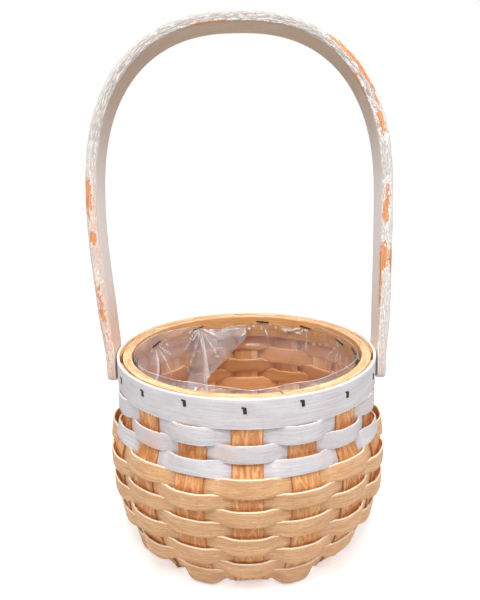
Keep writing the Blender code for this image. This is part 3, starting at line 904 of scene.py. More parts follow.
def makeSplint(number, group, index):
    back = splintHalf(group, index, -1)
    front = splintHalf(group, index, 1)
    stations = [(c, -s, f, cup) for c, s, f, cup in reversed(back)] + front
    runs = [0.0]
    for (a, *_), (b, *_) in zip(stations, stations[1:]):
        runs.append(runs[-1] + (b - a).length)
    curves = []
    for part in range(3):
        for axis in range(3):
            curves.append(easedCurve([(run, s[part][axis]) for run, s in zip(runs, stations)]))
    cupAt = easedCurve([(run, s[3]) for run, s in zip(runs, stations)])
    steps = (len(stations) - 1) * splint["stepsAStation"]
    places = []
    for step in range(steps + 1):
        low, rest = divmod(step, splint["stepsAStation"])
        share = rest / splint["stepsAStation"]
        run = runs[low] + (runs[min(low + 1, len(runs) - 1)] - runs[low]) * share
        values = [curve(run) for curve in curves]
        places.append((Vector(values[:3]), Vector(values[3:6]).normalized(),
                       Vector(values[6:]).normalized(), cupAt(run)))
    strip = flatStrip("splint{}".format(number), steps, splint["stepsAcross"])

    def placeAt(along, across):
        centre, sidewise, facing, cup = places[round(along * steps)]
        return centre + sidewise * across * body["staveWidth"] / 2 - facing * cup * across * across

    bendStrip(strip, placeAt, runs[-1], body["staveWidth"],
              start=number * splint["grainShift"])
    thicken(strip, body["staveThickness"])
    finishStrip(strip, splint["ease"])
    coatSides(strip, staveVeneer, brightenedInsideVeneer)
    handOver(strip, "basket", "stave_wood", "splint_{}".format(number))


# bow handle: flat inside, rounded outside, leaning back about its rivets
bow = {
    "width": 0.034,
    "thickness": 0.0098,
    "endThickness": 0.0072,
    "thickRise": 0.045,
    "rounding": 0.0045,
    "rise": 0.2615,
    "shoulder": 0.131,
    "swell": 0.0058,
    "set": 0.0040,
    "tail": 0.0122,
    "endRounding": 0.005,
    "gap": 0.0005,
    "lean": math.radians(9.5),
    "archPower": 2.42,
    "pivotDepth": 0.0108,
    "stepsAlong": 720,
    "stepsAround": 52,
    "paint": 0.00022,
    "brush": 0.00012,
    "backFrom": 0.004,
    "lineSteps": 600,
    "archSteps": 1500,
    "merge": 0.00002,
}


def bowLine():  # inner face from end to end: (place along X, rise over the pivot), even steps
    seat = body["rimRadius"] + bow["gap"]
    straight = bow["shoulder"] + bow["tail"]
    points = []
    for step in range(bow["lineSteps"]):
        rise = straight * step / bow["lineSteps"] - bow["tail"]
        ease = (1 - math.cos(math.pi * (rise + bow["tail"]) / straight)) / 2
        points.append((seat + bow["swell"] * ease, bow["set"] * ease, rise))
    left = [(-out - moved, rise) for out, moved, rise in points]
    right = [(out - moved, rise) for out, moved, rise in reversed(points)]
    arch = []
    half = seat + bow["swell"]
    for step in range(bow["archSteps"] + 1):
        turn = math.pi * step / bow["archSteps"]
        across = -math.copysign(abs(math.cos(turn)) ** (2 / bow["archPower"]), math.cos(turn))
        up = math.sin(turn) ** (2 / bow["archPower"])
        arch.append((half * across - bow["set"],
                     bow["shoulder"] + (bow["rise"] - bow["shoulder"]) * up))
    rough = left + arch + right
    runs = [0.0]
    for a, b in zip(rough, rough[1:]):
        runs.append(runs[-1] + math.dist(a, b))
    even = []
    low = 0
    for step in range(bow["stepsAlong"] + 1):
        run = runs[-1] * step / bow["stepsAlong"]
        while low < len(runs) - 2 and runs[low + 1] < run:
            low += 1
        share = (run - runs[low]) / max(1e-9, runs[low + 1] - runs[low])
        even.append(tuple(p + (q - p) * share for p, q in zip(rough[low], rough[low + 1])))
    return even, runs[-1]


def bowThickness(rise):  # the bow is thinned down towards its ends
    ease = (1 - math.cos(math.pi * min(1.0, max(0.0, rise / bow["thickRise"])))) / 2
    return bow["endThickness"] + (bow["thickness"] - bow["endThickness"]) * ease


def bowSection(share, halfWidth, thickness):
    # round the bar from the middle of its flat inside: (across, out), and 1 on the flat
    flat = 2 * halfWidth
    straight = thickness - bow["rounding"]
    quarter = math.pi / 2 * bow["rounding"]
    back = 2 * (halfWidth - bow["rounding"])
    legs = (flat / 2, straight, quarter, back / 2)
    run = share * 2 * sum(legs)
    mirrored = run > sum(legs)
    if mirrored:
        run = 2 * sum(legs) - run
    if run < legs[0]:
        place = (run, 0.0, 1.0)
    elif run < legs[0] + legs[1]:
        place = (halfWidth, run - legs[0], 0.0)
    elif run < sum(legs[:3]):
        turn = (run - legs[0] - legs[1]) / bow["rounding"]
        place = (halfWidth - bow["rounding"] * (1 - math.cos(turn)),
                 straight + bow["rounding"] * math.sin(turn), 0.0)
    else:
        place = (halfWidth - bow["rounding"] - (run - sum(legs[:3])), thickness, 0.0)
    return (-place[0] if mirrored else place[0]), place[1], place[2]


# places where the paint is worn through: (run from the left end, reach, place across,
# reach across, out from the flat, reach out, share); across is -1 on the front edge
wornPlaces = (
    (0.030, 0.045, -1.0, 0.9, 0.005, 0.007, 0.46),
    (0.068, 0.040, -1.0, 0.9, 0.006, 0.006, 0.60),
    (0.113, 0.010, -1.0, 0.8, 0.005, 0.005, 1.10),
    (0.146, 0.034, -1.0, 0.9, 0.007, 0.006, 0.92),
    (0.175, 0.045, -0.8, 0.3, 0.010, 0.002, 0.55),
    (0.310, 0.030, -1.0, 0.3, 0.000, 0.003, 0.72),
    (0.350, 0.060, -1.0, 0.3, 0.000, 0.002, 0.60),
    (0.418, 0.030, -1.0, 0.5, 0.007, 0.003, 1.05),
    (0.448, 0.030, -1.0, 0.5, 0.007, 0.003, 1.05),
    (0.445, 0.036, -1.0, 0.3, 0.000, 0.003, 0.85),
    (0.480, 0.026, -1.0, 0.9, 0.005, 0.006, 0.82),
    (0.533, 0.022, -1.0, 0.8, 0.005, 0.006, 0.62),
    (0.549, 0.018, -1.0, 0.8, 0.003, 0.005, 0.85),
    (0.580, 0.024, -1.0, 0.8, 0.003, 0.006, 0.85),
    (0.586, 0.032, -0.9, 0.4, 0.009, 0.003, 0.90),
    (0.606, 0.044, -1.0, 0.4, 0.000, 0.003, 0.85),
    (0.560, 0.110, -0.7, 0.3, 0.010, 0.002, 0.50),
    (0.300, 0.500, 0.9, 0.8, 0.008, 0.006, 0.42),
)
# thick dabs of paint on the front: (run, reach, out from the flat, reach out, height)
paintDabs = ((0.555, 0.009, 0.008, 0.003, 0.0006), (0.400, 0.009, 0.003, 0.003, 0.0007),
             (0.415, 0.020, 0.003, 0.002, 0.0004), (0.455, 0.020, 0.004, 0.002, 0.0004),
             (0.320, 0.040, 0.002, 0.002, 0.0003), (0.132, 0.030, 0.001, 0.002, 0.0004))
# stretches where the paint has a warm stain: (run from the left end, reach, share)
blushes = ((0.030, 0.110, 1.0), (0.130, 0.050, 0.7), (0.665, 0.040, 0.25))


def paintLeft(run, across, out):  # 1 where the paint is whole, less where it is worn
    left = 1.0
    for place, reach, sideAt, sideReach, outAt, outReach, share in wornPlaces:
        left -= (share * bump(run, place, reach) * bump(across, sideAt, sideReach)
                 * bump(out, outAt, outReach))
    return left


def makeBow():
    line, length = bowLine()
    pivot = body["height"] - bow["pivotDepth"]
    lean = Matrix.Rotation(-bow["lean"], 3, "X")
    strip = flatStrip("bowHandle", bow["stepsAlong"], bow["stepsAround"])
    around = 2 * (bow["width"] + bow["thickness"])
    paint = []
    inner = []
    blush = []

    def placeAt(along, across):
        step = min(bow["stepsAlong"], max(0, round(along * bow["stepsAlong"])))
        x, rise = line[step]
        before = line[max(0, step - 2)]
        after = line[min(len(line) - 1, step + 2)]
        tangent = Vector((after[0] - before[0], 0, after[1] - before[1])).normalized()
        out = Vector((-tangent.z, 0, tangent.x))
        run = along * length
        fromEnd = min(run, length - run)
        halfWidth = bow["width"] / 2
        if fromEnd < bow["endRounding"]:
            gone = bow["endRounding"] - fromEnd
            halfWidth += math.sqrt(max(0, bow["endRounding"] ** 2 - gone ** 2))
            halfWidth -= bow["endRounding"]
        thickness = bowThickness(rise)
        where, depth, flat = bowSection((across + 1) / 2, halfWidth, thickness)
        grainy = noise.noise(Vector((run * 90, where * 700, depth * 700)))
        lumps = noise.noise(Vector((run * 260, where * 420, depth * 420 + 5)))
        left = paintLeft(run, -where / halfWidth, depth) + 0.22 * grainy + 0.12 * lumps
        cover = smooth((left - 0.42) / 0.2)
        paint.append(min(1.2, max(0.0, left)))
        inner.append(flat)
        blush.append(sum(share * bump(run, place, reach) for place, reach, share in blushes))
        swell = 0.0
        if not flat:
            swell = bow["paint"] * (cover - 1) + bow["brush"] * (lumps + grainy * 0.7)
            for dabRun, dabReach, dabOut, outReach, height in paintDabs:
                dab = bump(run, dabRun, dabReach) * bump(depth, dabOut, outReach) * (where > 0)
                swell += height * dab * (0.6 + 0.8 * lumps)
        facing = Vector((0, where, 0)).normalized() * (0.7 if 0 < depth < thickness else 0)
        facing += out * (0.7 if depth > bow["backFrom"] else 0)
        place = Vector((x, -where, rise)) + out * depth
        place += Vector((facing.x, -facing.y, facing.z)) * swell
        place = lean @ place
        return place + Vector((0, 0, pivot))

    bendStrip(strip, placeAt, length, around)
    paintPoints(strip, "paint", paint)
    paintPoints(strip, "inner", inner)
    paintPoints(strip, "blush", blush)
    mergePoints(strip, bow["merge"])
    bpy.ops.object.mode_set(mode="EDIT")  # the two open ends are closed with a face each
    bpy.ops.mesh.select_all(action="DESELECT")
    bpy.ops.mesh.select_non_manifold()
    bpy.ops.mesh.edge_face_add()
    bpy.ops.object.mode_set(mode="OBJECT")
    faceOut(strip)
    shadeRound(strip, 50)
    coat(strip, bowPaint)
    handOver(strip, "bow", "handle_wood", "handle")


makeBand()
makeHoop()
for row in range(len(rowShares)):
    makeWeaver(row)
for number in range(2 * groupSize):
    makeSplint(number + 1, number // groupSize, number % groupSize)
print("stage: rim and weaving made")
makeBow()
print("stage: bow made")


# film liner: a thin bag stapled inside the hoop, its loose margin standing over the staples
film = {
    "flat": (0.57, 0.24),
    "stepsAround": 540,
    "stepsDown": 120,
    "wall": 0.00012,
    "mouthGap": 0.0024,  # in from the hoop, where the side of the bag begins
    "wallSlack": 0.0008,
    "marginShare": 0.1,  # share of the steps for the loose margin over the staples
    "pinGap": 0.0007,  # in from the hoop at a staple
    "looseGap": 0.0022,  # and how much more between two staples
    "pinDrop": 0.002,  # from the line of the staples down to the end of the margin
    "edgeDrop": 0.004,  # the edge never hangs lower than this under that line
    "settleDrop": 0.02,
    "curl": 0.0012,
    "crumple": 0.0016,
    "rayHeight": 0.0013,
    "rayLift": 0.0004,  # folds start this far over their staple
    "rayOver": 0.002,
    "rayStart": 0.004,
    "leastDrop": 0.00001,
    "tinyHeight": 0.0006,
    "tinyReach": 0.006,
    "pinchHeight": 0.0007,
    "pinchDepth": 0.02,
    "softDepth": 0.06,
    "bottomFrom": 0.008,  # over the bottom, where the side's folds begin to die out
    "bottomBlend": 0.012,
    "leastRadius": 0.0003,
    "merge": 0.00005,
}
# the bag's side: (share of the depth, share of the radius at its mouth)
linerShares = (
    (0.00, 1.00), (0.14, 1.00), (0.38, 1.04), (0.62, 1.04), (0.84, 0.98), (0.97, 0.90),
    (1.00, 0.82),
)
# the film's upper edge: (azimuth in degrees, depth under the rim, distance in from the hoop)
filmEdge = (
    (-180, 0.0072, 0.0020), (-170, 0.0080, 0.0030), (-163, 0.0085, 0.0030),
    (-155, 0.0062, 0.0015), (-147, 0.0052, 0.0012), (-131, 0.0034, 0.0012),
    (-117, 0.0022, 0.0011), (-95, 0.0014, 0.0012), (-82, 0.0012, 0.0012),
    (-72, 0.0012, 0.0022), (-60, 0.0014, 0.0042), (-50, 0.0014, 0.0070),
    (-38, 0.0014, 0.0095), (-30, 0.0014, 0.0130), (-12, 0.0014, 0.0125),
    (2, 0.0014, 0.0075), (12, 0.0014, 0.0095), (24, 0.0014, 0.0120),
    (38, 0.0014, 0.0085), (51, 0.0014, 0.0070), (63, 0.0014, 0.0050),
    (76, 0.0014, 0.0022), (91, 0.0026, 0.0014), (100, 0.0034, 0.0013),
    (112, 0.0031, 0.0014), (121, 0.0039, 0.0014), (133, 0.0022, 0.0015),
    (139, 0.0060, 0.0015), (143, 0.0112, 0.0030), (148, 0.0103, 0.0030),
    (154, 0.0080, 0.0025), (164, 0.0060, 0.0015), (170, 0.0052, 0.0011),
    (180, 0.0072, 0.0020),
)
# film staples: (azimuth in degrees, depth under the rim, tilt in degrees)
filmStaples = (
    (-119.5, 0.0110, -12), (-151, 0.0076, -12), (170, 0.0055, 2), (143, 0.0060, 4),
    (116, 0.0091, 10), (98, 0.0080, 8), (66, 0.0085, 4), (38, 0.0080, -3), (8, 0.0085, 2),
    (-26, 0.0080, 5), (-60, 0.0090, -4), (-90, 0.0085, 3),
)
# folds that fan out from a staple: (staple, turn from straight down in degrees, width in
# degrees, length, strength); a positive turn runs to the left seen from inside the basket
filmFans = (
    (0, 12, 8, 0.050, 1.0), (0, -25, 7, 0.045, 0.55), (0, -48, 8, 0.030, 0.5),
    (0, -72, 5, 0.018, 0.9), (0, 60, 8, 0.020, 0.4),
    (1, 75, 7, 0.016, 1.0), (1, 20, 7, 0.050, 0.4), (1, -6, 6, 0.075, 1.0),
    (1, -30, 7, 0.045, 0.4), (1, -62, 6, 0.018, 0.9), (1, 45, 8, 0.030, 0.5),
    (2, 62, 5, 0.026, 0.8), (2, -20, 6, 0.020, 0.6), (2, -70, 4, 0.018, 0.9),
    (2, 10, 7, 0.030, 0.25), (3, 72, 4, 0.026, 0.9), (3, -10, 8, 0.030, 0.25),
    (3, 20, 9, 0.040, 0.25), (4, 70, 10, 0.060, 0.2), (4, 38, 8, 0.045, 0.35),
    (4, 5, 7, 0.040, 0.45), (4, -22, 6, 0.040, 0.45), (4, -48, 6, 0.028, 0.4),
    (5, 10, 6, 0.030, 0.4), (5, -35, 6, 0.030, 0.4), (6, 15, 7, 0.040, 0.5),
    (6, -30, 7, 0.040, 0.5), (7, -15, 7, 0.045, 0.5), (7, 35, 7, 0.030, 0.4),
    (8, 25, 7, 0.040, 0.5), (8, -25, 7, 0.045, 0.5), (9, 10, 7, 0.045, 0.5),
    (9, -40, 7, 0.030, 0.5), (10, 30, 7, 0.040, 0.5), (10, -12, 7, 0.045, 0.5),
    (11, 12, 7, 0.040, 0.5), (11, -40, 7, 0.030, 0.4),
)
# single creases painted as bright highlight lines only: (azimuth, depth) to (azimuth, depth), half
# width, strength
filmHighlightLines = (
    (183, 0.0270, 164, 0.0285, 0.0008, 0.9), (164, 0.0075, 144, 0.0130, 0.0009, 0.9),
    (-162, 0.0100, -176, 0.0095, 0.0007, 0.8), (140, 0.0200, 118, 0.0150, 0.0006, 0.3),
)
# milky places: (azimuth, reach in degrees, depth, reach in depth, share)
filmHaze = (
    (-105, 60, 0.020, 0.05, 0.58), (-150, 30, 0.022, 0.04, 0.1), (150, 42, 0.032, 0.022, 0.25),
    (115, 30, 0.030, 0.04, 0.25), (-30, 60, 0.004, 0.012, 0.15), (40, 60, 0.004, 0.012, 0.15),
    (90, 20, 0.030, 0.04, 0.25),
)


def turnBetween(a, b):  # signed degrees from b to a, the short way round
    return (a - b + 180) % 360 - 180


def ridged(place):  # 1 along sharp winding lines, falling away on both sides
    return 1 - min(1.0, abs(noise.noise(place)) * 3.2)


def foldsAt(degrees, depth):
    # how far the film stands in, and how white it is, at a place on the bag's side; the white is
    # partly creased film, partly painted highlight
    height = white = 0.0
    for staplePlace, turn, width, length, strength in filmFans:
        pin, pinDepth, _ = filmStaples[staplePlace]
        across = math.radians(turnBetween(degrees, pin)) * hoopInner
        down = depth - pinDepth + film["rayLift"]
        far = math.hypot(across, down)
        if far > length * 1.5 or down < -film["rayOver"]:
            continue
        off = math.degrees(math.atan2(across, max(down, film["leastDrop"]))) - turn
        fade = smooth(far / film["rayStart"]) * smooth(1.35 - far / length)
        height += strength * fade * math.exp(-(off / width) ** 2) * film["rayHeight"]
        white += strength * fade * math.exp(-(off / width / 0.33) ** 2)
        white += strength * fade * math.exp(-(off / width) ** 2) * 0.34
    for first, top, last, bottom, width, strength in filmHighlightLines:
        run = math.radians(turnBetween(last, first)) * hoopInner
        drop = bottom - top
        x = math.radians(turnBetween(degrees, first)) * hoopInner
        y = depth - top
        reach = math.hypot(run, drop)
        share = (x * run + y * drop) / reach / reach
        off = (x * drop - y * run) / reach
        if 0 < share < 1:
            white += strength * math.exp(-(off / width) ** 2) * smooth(4 * min(share, 1 - share))
    return height, white


def stapleAway(degrees):  # degrees to the nearest staple
    return min(abs(turnBetween(degrees, pin)) for pin, _, _ in filmStaples)


def mouthDepth(degrees):  # depth of the line through the staples
    total = weight = 0.0
    for pin, depth, _ in filmStaples:
        share = math.exp(-(turnBetween(degrees, pin) / 14) ** 2)
        total += share * depth
        weight += share
    return total / weight


mouthRadius = hoopInner - film["mouthGap"]
bagShareAt = easedCurve(linerShares)


def finishFilm(sheet, haze, creaseAndHighlight, node):
    paintPoints(sheet, "haze", haze)
    paintPoints(sheet, "creaseAndHighlight", creaseAndHighlight)
    mergePoints(sheet, film["merge"])
    faceOut(sheet, turned=True)
    thicken(sheet, film["wall"], even=False)
    shadeRound(sheet, 180)
    coat(sheet, clearFilm)
    handOver(sheet, "basket", "film", node)


def makeFilm():
    floorTop = plaitMiddle + plaitRise + halfStave + 2 * body["gap"]
    wallDepth = body["height"] - floorTop
    edgeDepth = easedCurve([(degrees, depth) for degrees, depth, _ in filmEdge])
    edgeIn = easedCurve([(degrees, distance) for degrees, _, distance in filmEdge])
    sheet = flatStrip("filmLiner", film["stepsAround"], film["stepsDown"])
    haze = []
    creaseAndHighlight = []

    def placeAt(along, across):
        degrees = along * 360 - 180
        azimuth = math.radians(degrees)
        ring = Vector((math.sin(azimuth), math.cos(azimuth), 0))
        down = (1 - across) / 2
        away = stapleAway(degrees)
        loose = smooth((away - 3.5) / 11)
        pinDepth = mouthDepth(degrees)
        pinRadius = hoopInner - film["pinGap"] - film["looseGap"] * loose
        marginEnd = pinDepth + film["pinDrop"]
        if down < film["marginShare"]:
            share = down / film["marginShare"]
            top = min(edgeDepth(degrees), pinDepth + film["edgeDrop"])
            topRadius = hoopInner - edgeIn(degrees)
            curl = math.sin(math.pi * share) * film["curl"] * loose
            radius = topRadius + (pinRadius - topRadius) * smooth(share) - curl
            depth = top + (marginEnd - top) * share
            settled = 0.0
        else:
            share = (down - film["marginShare"]) / (1 - film["marginShare"])
            travel = share * (wallDepth - pinDepth + mouthRadius)
            depth = marginEnd + travel
            settled = smooth(travel / film["settleDrop"])
            wallRadius = mouthRadius * bagShareAt(min(1.0, depth / wallDepth))
            wallRadius -= film["wallSlack"]
            radius = pinRadius + (wallRadius - pinRadius) * settled
            if depth > wallDepth:  # across the bottom to its middle
                radius = wallRadius * (1 - (depth - wallDepth) / (mouthRadius * 0.8))
                radius = max(0.0, radius)
        flat = smooth((depth - wallDepth + film["bottomFrom"]) / film["bottomBlend"])
        height, white = foldsAt(degrees, depth)
        near = math.exp(-away / 7) * math.exp(-abs(depth - pinDepth) / film["tinyReach"])
        upper = math.exp(-depth / film["pinchDepth"])
        big = noise.noise(ring * 3.1 + Vector((0, 0, depth * 26)))
        folds = ridged(ring * 3.4 + Vector((7, 3, depth * 20)))
        small = ridged(ring * 9.0 + Vector((2, 5, depth * 80)))
        tiny = ridged(ring * 26.0 + Vector((4, 1, depth * 300)))
        pinched = ridged(ring * 20 + Vector((4, 1, depth * 30)))
        soft = 0.3 + 0.7 * smooth(depth / film["softDepth"])
        inwards = film["crumple"] * (folds * soft + 0.4 * small + 0.3) + height
        inwards += film["tinyHeight"] * tiny * near + film["pinchHeight"] * pinched * upper
        inwards *= settled * (1 - flat) + 0.35 * loose * (1 - settled)
        # painted highlights on fold ridges, crumples near the staples, pinched folds and the upper
        # edge, partly the film's own whitening where creased
        white += 0.3 * smooth((folds - 0.9) / 0.1) * (0.15 + 0.25 * smooth(big + 0.5))
        white += 1.12 * smooth((tiny - 0.62) / 0.3) * near
        white += 0.28 * smooth((pinched - 0.8) / 0.2) * upper
        white += 0.75 * smooth(1 - down / 0.006)
        z = body["height"] - min(depth, wallDepth)
        z += film["crumple"] * (folds + 0.3 * small) * flat
        milk = 0.03 + 0.05 * big + 0.5 * flat
        for place, reach, level, levelReach, share in filmHaze:
            milk += share * (smooth(1 - abs(turnBetween(degrees, place)) / reach)
                             * smooth(1 - abs(depth - level) / levelReach))
        haze.append(min(1.0, max(0.0, milk)))
        creaseAndHighlight.append(min(1.0, white * (1 - 0.8 * flat)))
        radius = max(film["leastRadius"], radius - inwards)
        return outward(azimuth) * radius + Vector((0, 0, z))

    bendStrip(sheet, placeAt, 2 * math.pi * mouthRadius, film["flat"][1])
    finishFilm(sheet, haze, creaseAndHighlight, "liner_film")


# the slack of the bag folded over at the second staple: its free edge hangs from the back
# of the mouth down to the left
flap = {
    "flat": (0.06, 0.084),
    "area": 0.0028,
    "stepsAlong": 150,
    "stepsDown": 130,
    "uvSize": (0.06, 0.083),
    "leftDegrees": -146.5,
    "leftDepth": 0.006,
    "cornerDegrees": -180,
    "cornerDepth": 0.018,
    "tipDegrees": -138,
    "tipDepth": 0.08,
    "bagDepth": 0.15,
    "standOff": 0.0052,
    "filmGap": 0.0012,
    "hoopGap": 0.0014,
    "hoopBlend": 0.02,
    "standOffDepth": 0.03,
    "foldHeight": 0.0014,
    "smallHeight": 0.0007,
    "sideShift": 0.8,  # degrees by which the free edge stands out at its top
    "sideFrom": 0.005,
    "sideBlend": 0.004,
    # the crumpled place gets painted highlights only, with no crumples in the flap's shape
    "glintsAt": (-157, 0.010),  # a crumpled place: degrees and depth, and its reach in both
    "glintsReach": (6, 0.005),
    # painted highlight: a bright spot on the flap
    "highlightAt": (-160.5, 0.0345),  # a bright spot
    "highlightReach": (2.2, 0.0016),
    # painted highlight: a bright line along under the flap's edge
    "highlightLineDrop": 0.0028,  # a bright line that runs along under the edge
    "highlightLineReach": 0.0006,
}
# the upper edge of the flap: (share from left to right, depth under the rim)
flapEdge = ((0.0, 0.0062), (0.12, 0.0068), (0.3, 0.0088), (0.5, 0.0090), (0.8, 0.0066),
            (1.0, 0.0070))


def makeFlap():
    edgeDepth = easedCurve(flapEdge)
    sheet = flatStrip("filmFlap", flap["stepsAlong"], flap["stepsDown"])
    haze = []
    creaseAndHighlight = []
    tip = flap["tipDegrees"]
    tipDepth = flap["tipDepth"]

    def placeAt(along, across):
        down = (1 - across) / 2
        depth = edgeDepth(along) * (1 - down) + tipDepth * down
        leftShare = (depth - flap["leftDepth"]) / (tipDepth - flap["leftDepth"])
        left = flap["leftDegrees"] + (tip - flap["leftDegrees"]) * leftShare
        fall = max(0.0, depth - flap["cornerDepth"]) / (tipDepth - flap["cornerDepth"])
        right = flap["cornerDegrees"] + (tip - 0.1 - flap["cornerDegrees"]) * fall
        right += flap["sideShift"] * smooth((depth - flap["sideFrom"]) / flap["sideBlend"])
        right -= flap["sideShift"]
        degrees = left + (right - left) * along
        azimuth = math.radians(degrees)
        ring = Vector((math.sin(azimuth), math.cos(azimuth), 0))
        wallRadius = mouthRadius * bagShareAt(min(1.0, depth / flap["bagDepth"]))
        wallRadius -= film["wallSlack"]
        hoopRadius = hoopInner - flap["hoopGap"]
        hoopRadius += (wallRadius - hoopInner) * smooth(depth / flap["hoopBlend"])
        radius = min(wallRadius, hoopRadius)
        big = noise.noise(ring * 3.3 + Vector((4, 0, depth * 24)))
        folds = ridged(ring * 4.2 + Vector((1, 8, depth * 26)))
        small = ridged(ring * 11.0 + Vector((9, 5, depth * 90)))
        tiny = ridged(ring * 30.0 + Vector((2, 6, depth * 330)))
        width = smooth(along * (right - left) / -20)
        inwards = flap["filmGap"]
        full = smooth(depth / flap["standOffDepth"])
        inwards += flap["standOff"] * width * (0.55 + 0.45 * full)
        inwards += width * (flap["foldHeight"] * folds + flap["smallHeight"] * small)
        height, white = foldsAt(degrees, depth)
        inwards += height
        near = math.exp(-abs(turnBetween(degrees, flap["glintsAt"][0])) / flap["glintsReach"][0])
        near *= math.exp(-abs(depth - flap["glintsAt"][1]) / flap["glintsReach"][1])
        fromLine = depth - edgeDepth(along) - flap["highlightLineDrop"]
        highlightUnderEdge = math.exp(-(fromLine / flap["highlightLineReach"]) ** 2)
        glintSpot = math.hypot(turnBetween(degrees, flap["highlightAt"][0]) / flap["highlightReach"][0],
                          (depth - flap["highlightAt"][1]) / flap["highlightReach"][1])
        # painted highlights on fold ridges, the crumpled place, under the edge, the upper and
        # right edges and one spot, partly creased film
        white += 0.5 * smooth((folds - 0.92) / 0.08) * (0.3 + big)
        white += 1.1 * smooth((tiny - 0.62) / 0.3) * near
        white += 0.5 * highlightUnderEdge * smooth((along - 0.3) / 0.3)
        white += 0.45 * smooth(1 - down / 0.008) + 0.4 * smooth((along - 0.985) / 0.015)
        white += 0.9 * smooth(1.2 - glintSpot)
        haze.append(min(1.0, max(0.05, (0.5 + 0.3 * big) * smooth(0.2 + along * 3))))
        creaseAndHighlight.append(min(1.0, max(0.0, white)))
        return outward(azimuth) * (radius - inwards) + Vector((0, 0, body["height"] - depth))

    bendStrip(sheet, placeAt, *flap["uvSize"])
    finishFilm(sheet, haze, creaseAndHighlight, "liner_fold")


# staples: a crown of flattened wire whose ends turn in as legs
staple = {
    "flat": 0.0007,
    "turnShare": 0.4,
    "dropShare": 0.6,
    "ease": 0.00015,
    "filmCrown": 0.0125,
    "filmWire": 0.0011,
    "filmLeg": 0.0018,
    "inHoop": 0.0012,
    "rimCrown": 0.0064,
    "rimWire": 0.0024,
    "rimLeg": 0.0012,
    "proud": 0.00012,
    "head": 0.0014,  # the bent end of a rim staple
    "headWire": 0.0012,
    "headLeg": 0.0008,
    "headDrop": 0.0010,
    "headLift": 0.00005,
    "turnUpTo": math.radians(2),
    "tiltUpTo": math.radians(5),
    "topCrown": 0.0075,
    "topWire": 0.0010,
    "topLeg": 0.001,
    "topRadius": 0.0924,
    "topLift": 0.0001,
    "topAt": math.radians(14.9),
}
rimStapleDepths = (0.0082, 0.0063, 0.0095, 0.0108, 0.0090, 0.0078, 0.0086, 0.0094,
                   0.0083, 0.0090, 0.0076, 0.0088, 0.0085, 0.0103, 0.0081, 0.0062)


def makeStaple(name, crown, wire, leg):
    # a bar whose ends turn in: extruded from a flattened cube in edit mode
    deselectAll()
    bpy.ops.mesh.primitive_cube_add(size=1)
    piece = bpy.context.object
    piece.name = name
    piece.data.name = name
    turn = wire * staple["turnShare"]
    for vertex in piece.data.vertices:
        vertex.co = Vector((vertex.co.x * (crown - 2 * turn), vertex.co.y * wire,
                            vertex.co.z * staple["flat"]))
    bpy.ops.object.mode_set(mode="EDIT")
    for sign in (-1, 1):
        work = bmesh.from_edit_mesh(piece.data)
        for face in work.faces:
            face.select_set(abs(face.normal.x - sign) < 0.1)
        work.select_flush_mode()
        bmesh.update_edit_mesh(piece.data)
        for step in ((sign * turn, 0, -staple["flat"] * staple["dropShare"]), (0, 0, -leg)):
            bpy.ops.mesh.extrude_region_move(TRANSFORM_OT_translate={"value": step})
        bpy.ops.mesh.select_all(action="DESELECT")
    bpy.ops.object.mode_set(mode="OBJECT")
    faceOut(piece)
    easeEdges(piece, staple["ease"], 35)
    shadeRound(piece, 60)
    return piece


def setPiece(piece, across, along, out, place):
    # turns the piece's X, Y and Z to these directions and moves it to its place
    turn = Matrix((across, along, out)).transposed().to_4x4()
    piece.data.transform(Matrix.Translation(place) @ turn)
    piece.data.update()


def joinAll(name, pieces):
    deselectAll()
    for piece in pieces:
        piece.select_set(True)
    bpy.context.view_layer.objects.active = pieces[0]
    bpy.ops.object.join()
    pieces[0].name = name
    return pieces[0]


def finishStaples(piece, metal):
    coat(piece, metal)
    handOver(piece, "basket", "rivet_metal")


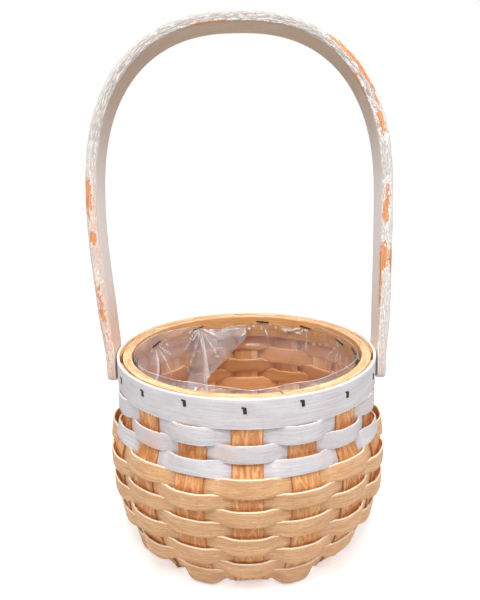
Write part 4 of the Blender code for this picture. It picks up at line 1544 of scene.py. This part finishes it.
def makeRimStaples():
    count = body["staveCount"]
    bars = copies(makeStaple("rimStaple", staple["rimCrown"], staple["rimWire"],
                             staple["rimLeg"]), count)
    heads = copies(makeStaple("rimStapleHead", staple["rimWire"] + staple["head"],
                              staple["headWire"], staple["headLeg"]), count)
    for index in range(count):
        turn = noise.cell(Vector((index + 0.5, 0, 0)))
        lean = noise.cell(Vector((index + 0.5, 2, 0))) - 0.7
        azimuth = index * staveStep + staple["turnUpTo"] * turn
        tilt = staple["tiltUpTo"] * lean
        out = outward(azimuth)
        up = Vector((0, 0, 1)) * math.cos(tilt) + sideways(azimuth) * math.sin(tilt)
        place = out * (body["rimRadius"] + staple["proud"])
        place += Vector((0, 0, body["height"] - rimStapleDepths[index]))
        setPiece(bars[index], up, out.cross(up), out, place)
        across = out.cross(up)
        bent = (across + up * 0.25).normalized()
        place += up * (staple["rimCrown"] / 2 - staple["headDrop"])
        place += across * staple["head"] / 2 + out * staple["headLift"]
        setPiece(heads[index], bent, out.cross(bent), out, place)
    finishStaples(joinAll("rimStaples", bars + heads), darkIron)


def makeFilmStaples():
    places = filmStaples[:-1]  # the last one only pinches the film, and no staple shows there
    made = copies(makeStaple("filmStaple", staple["filmCrown"], staple["filmWire"],
                             staple["filmLeg"]), len(places))
    for piece, (degrees, depth, tiltDegrees) in zip(made, places):
        azimuth = math.radians(degrees)
        tilt = math.radians(tiltDegrees)
        inwardly = -outward(azimuth)
        level = sideways(azimuth) * math.cos(tilt) + Vector((0, 0, 1)) * math.sin(tilt)
        place = outward(azimuth) * (hoopInner - staple["inHoop"])
        place += Vector((0, 0, body["height"] - depth))
        setPiece(piece, level, inwardly.cross(level), inwardly, place)
    finishStaples(joinAll("filmStaples", made), darkIron)


def makeTopStaple():  # across the top of the wound hoop, in front
    piece = makeStaple("hoopStaple", staple["topCrown"], staple["topWire"], staple["topLeg"])
    out = outward(staple["topAt"])
    up = Vector((0, 0, 1))
    setPiece(piece, out, up.cross(out), up,
             out * staple["topRadius"] + up * (hoopHigh.z + staple["topLift"]))
    finishStaples(piece, greySteel)


makeFilm()
makeFlap()
makeRimStaples()
makeFilmStaples()
makeTopStaple()
for name in ("rivet_left", "rivet_right", "washer_left", "washer_right"):
    coat(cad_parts[name], greySteel)
print("stage: film and staples made")

scene.view_settings.view_transform = "Standard"
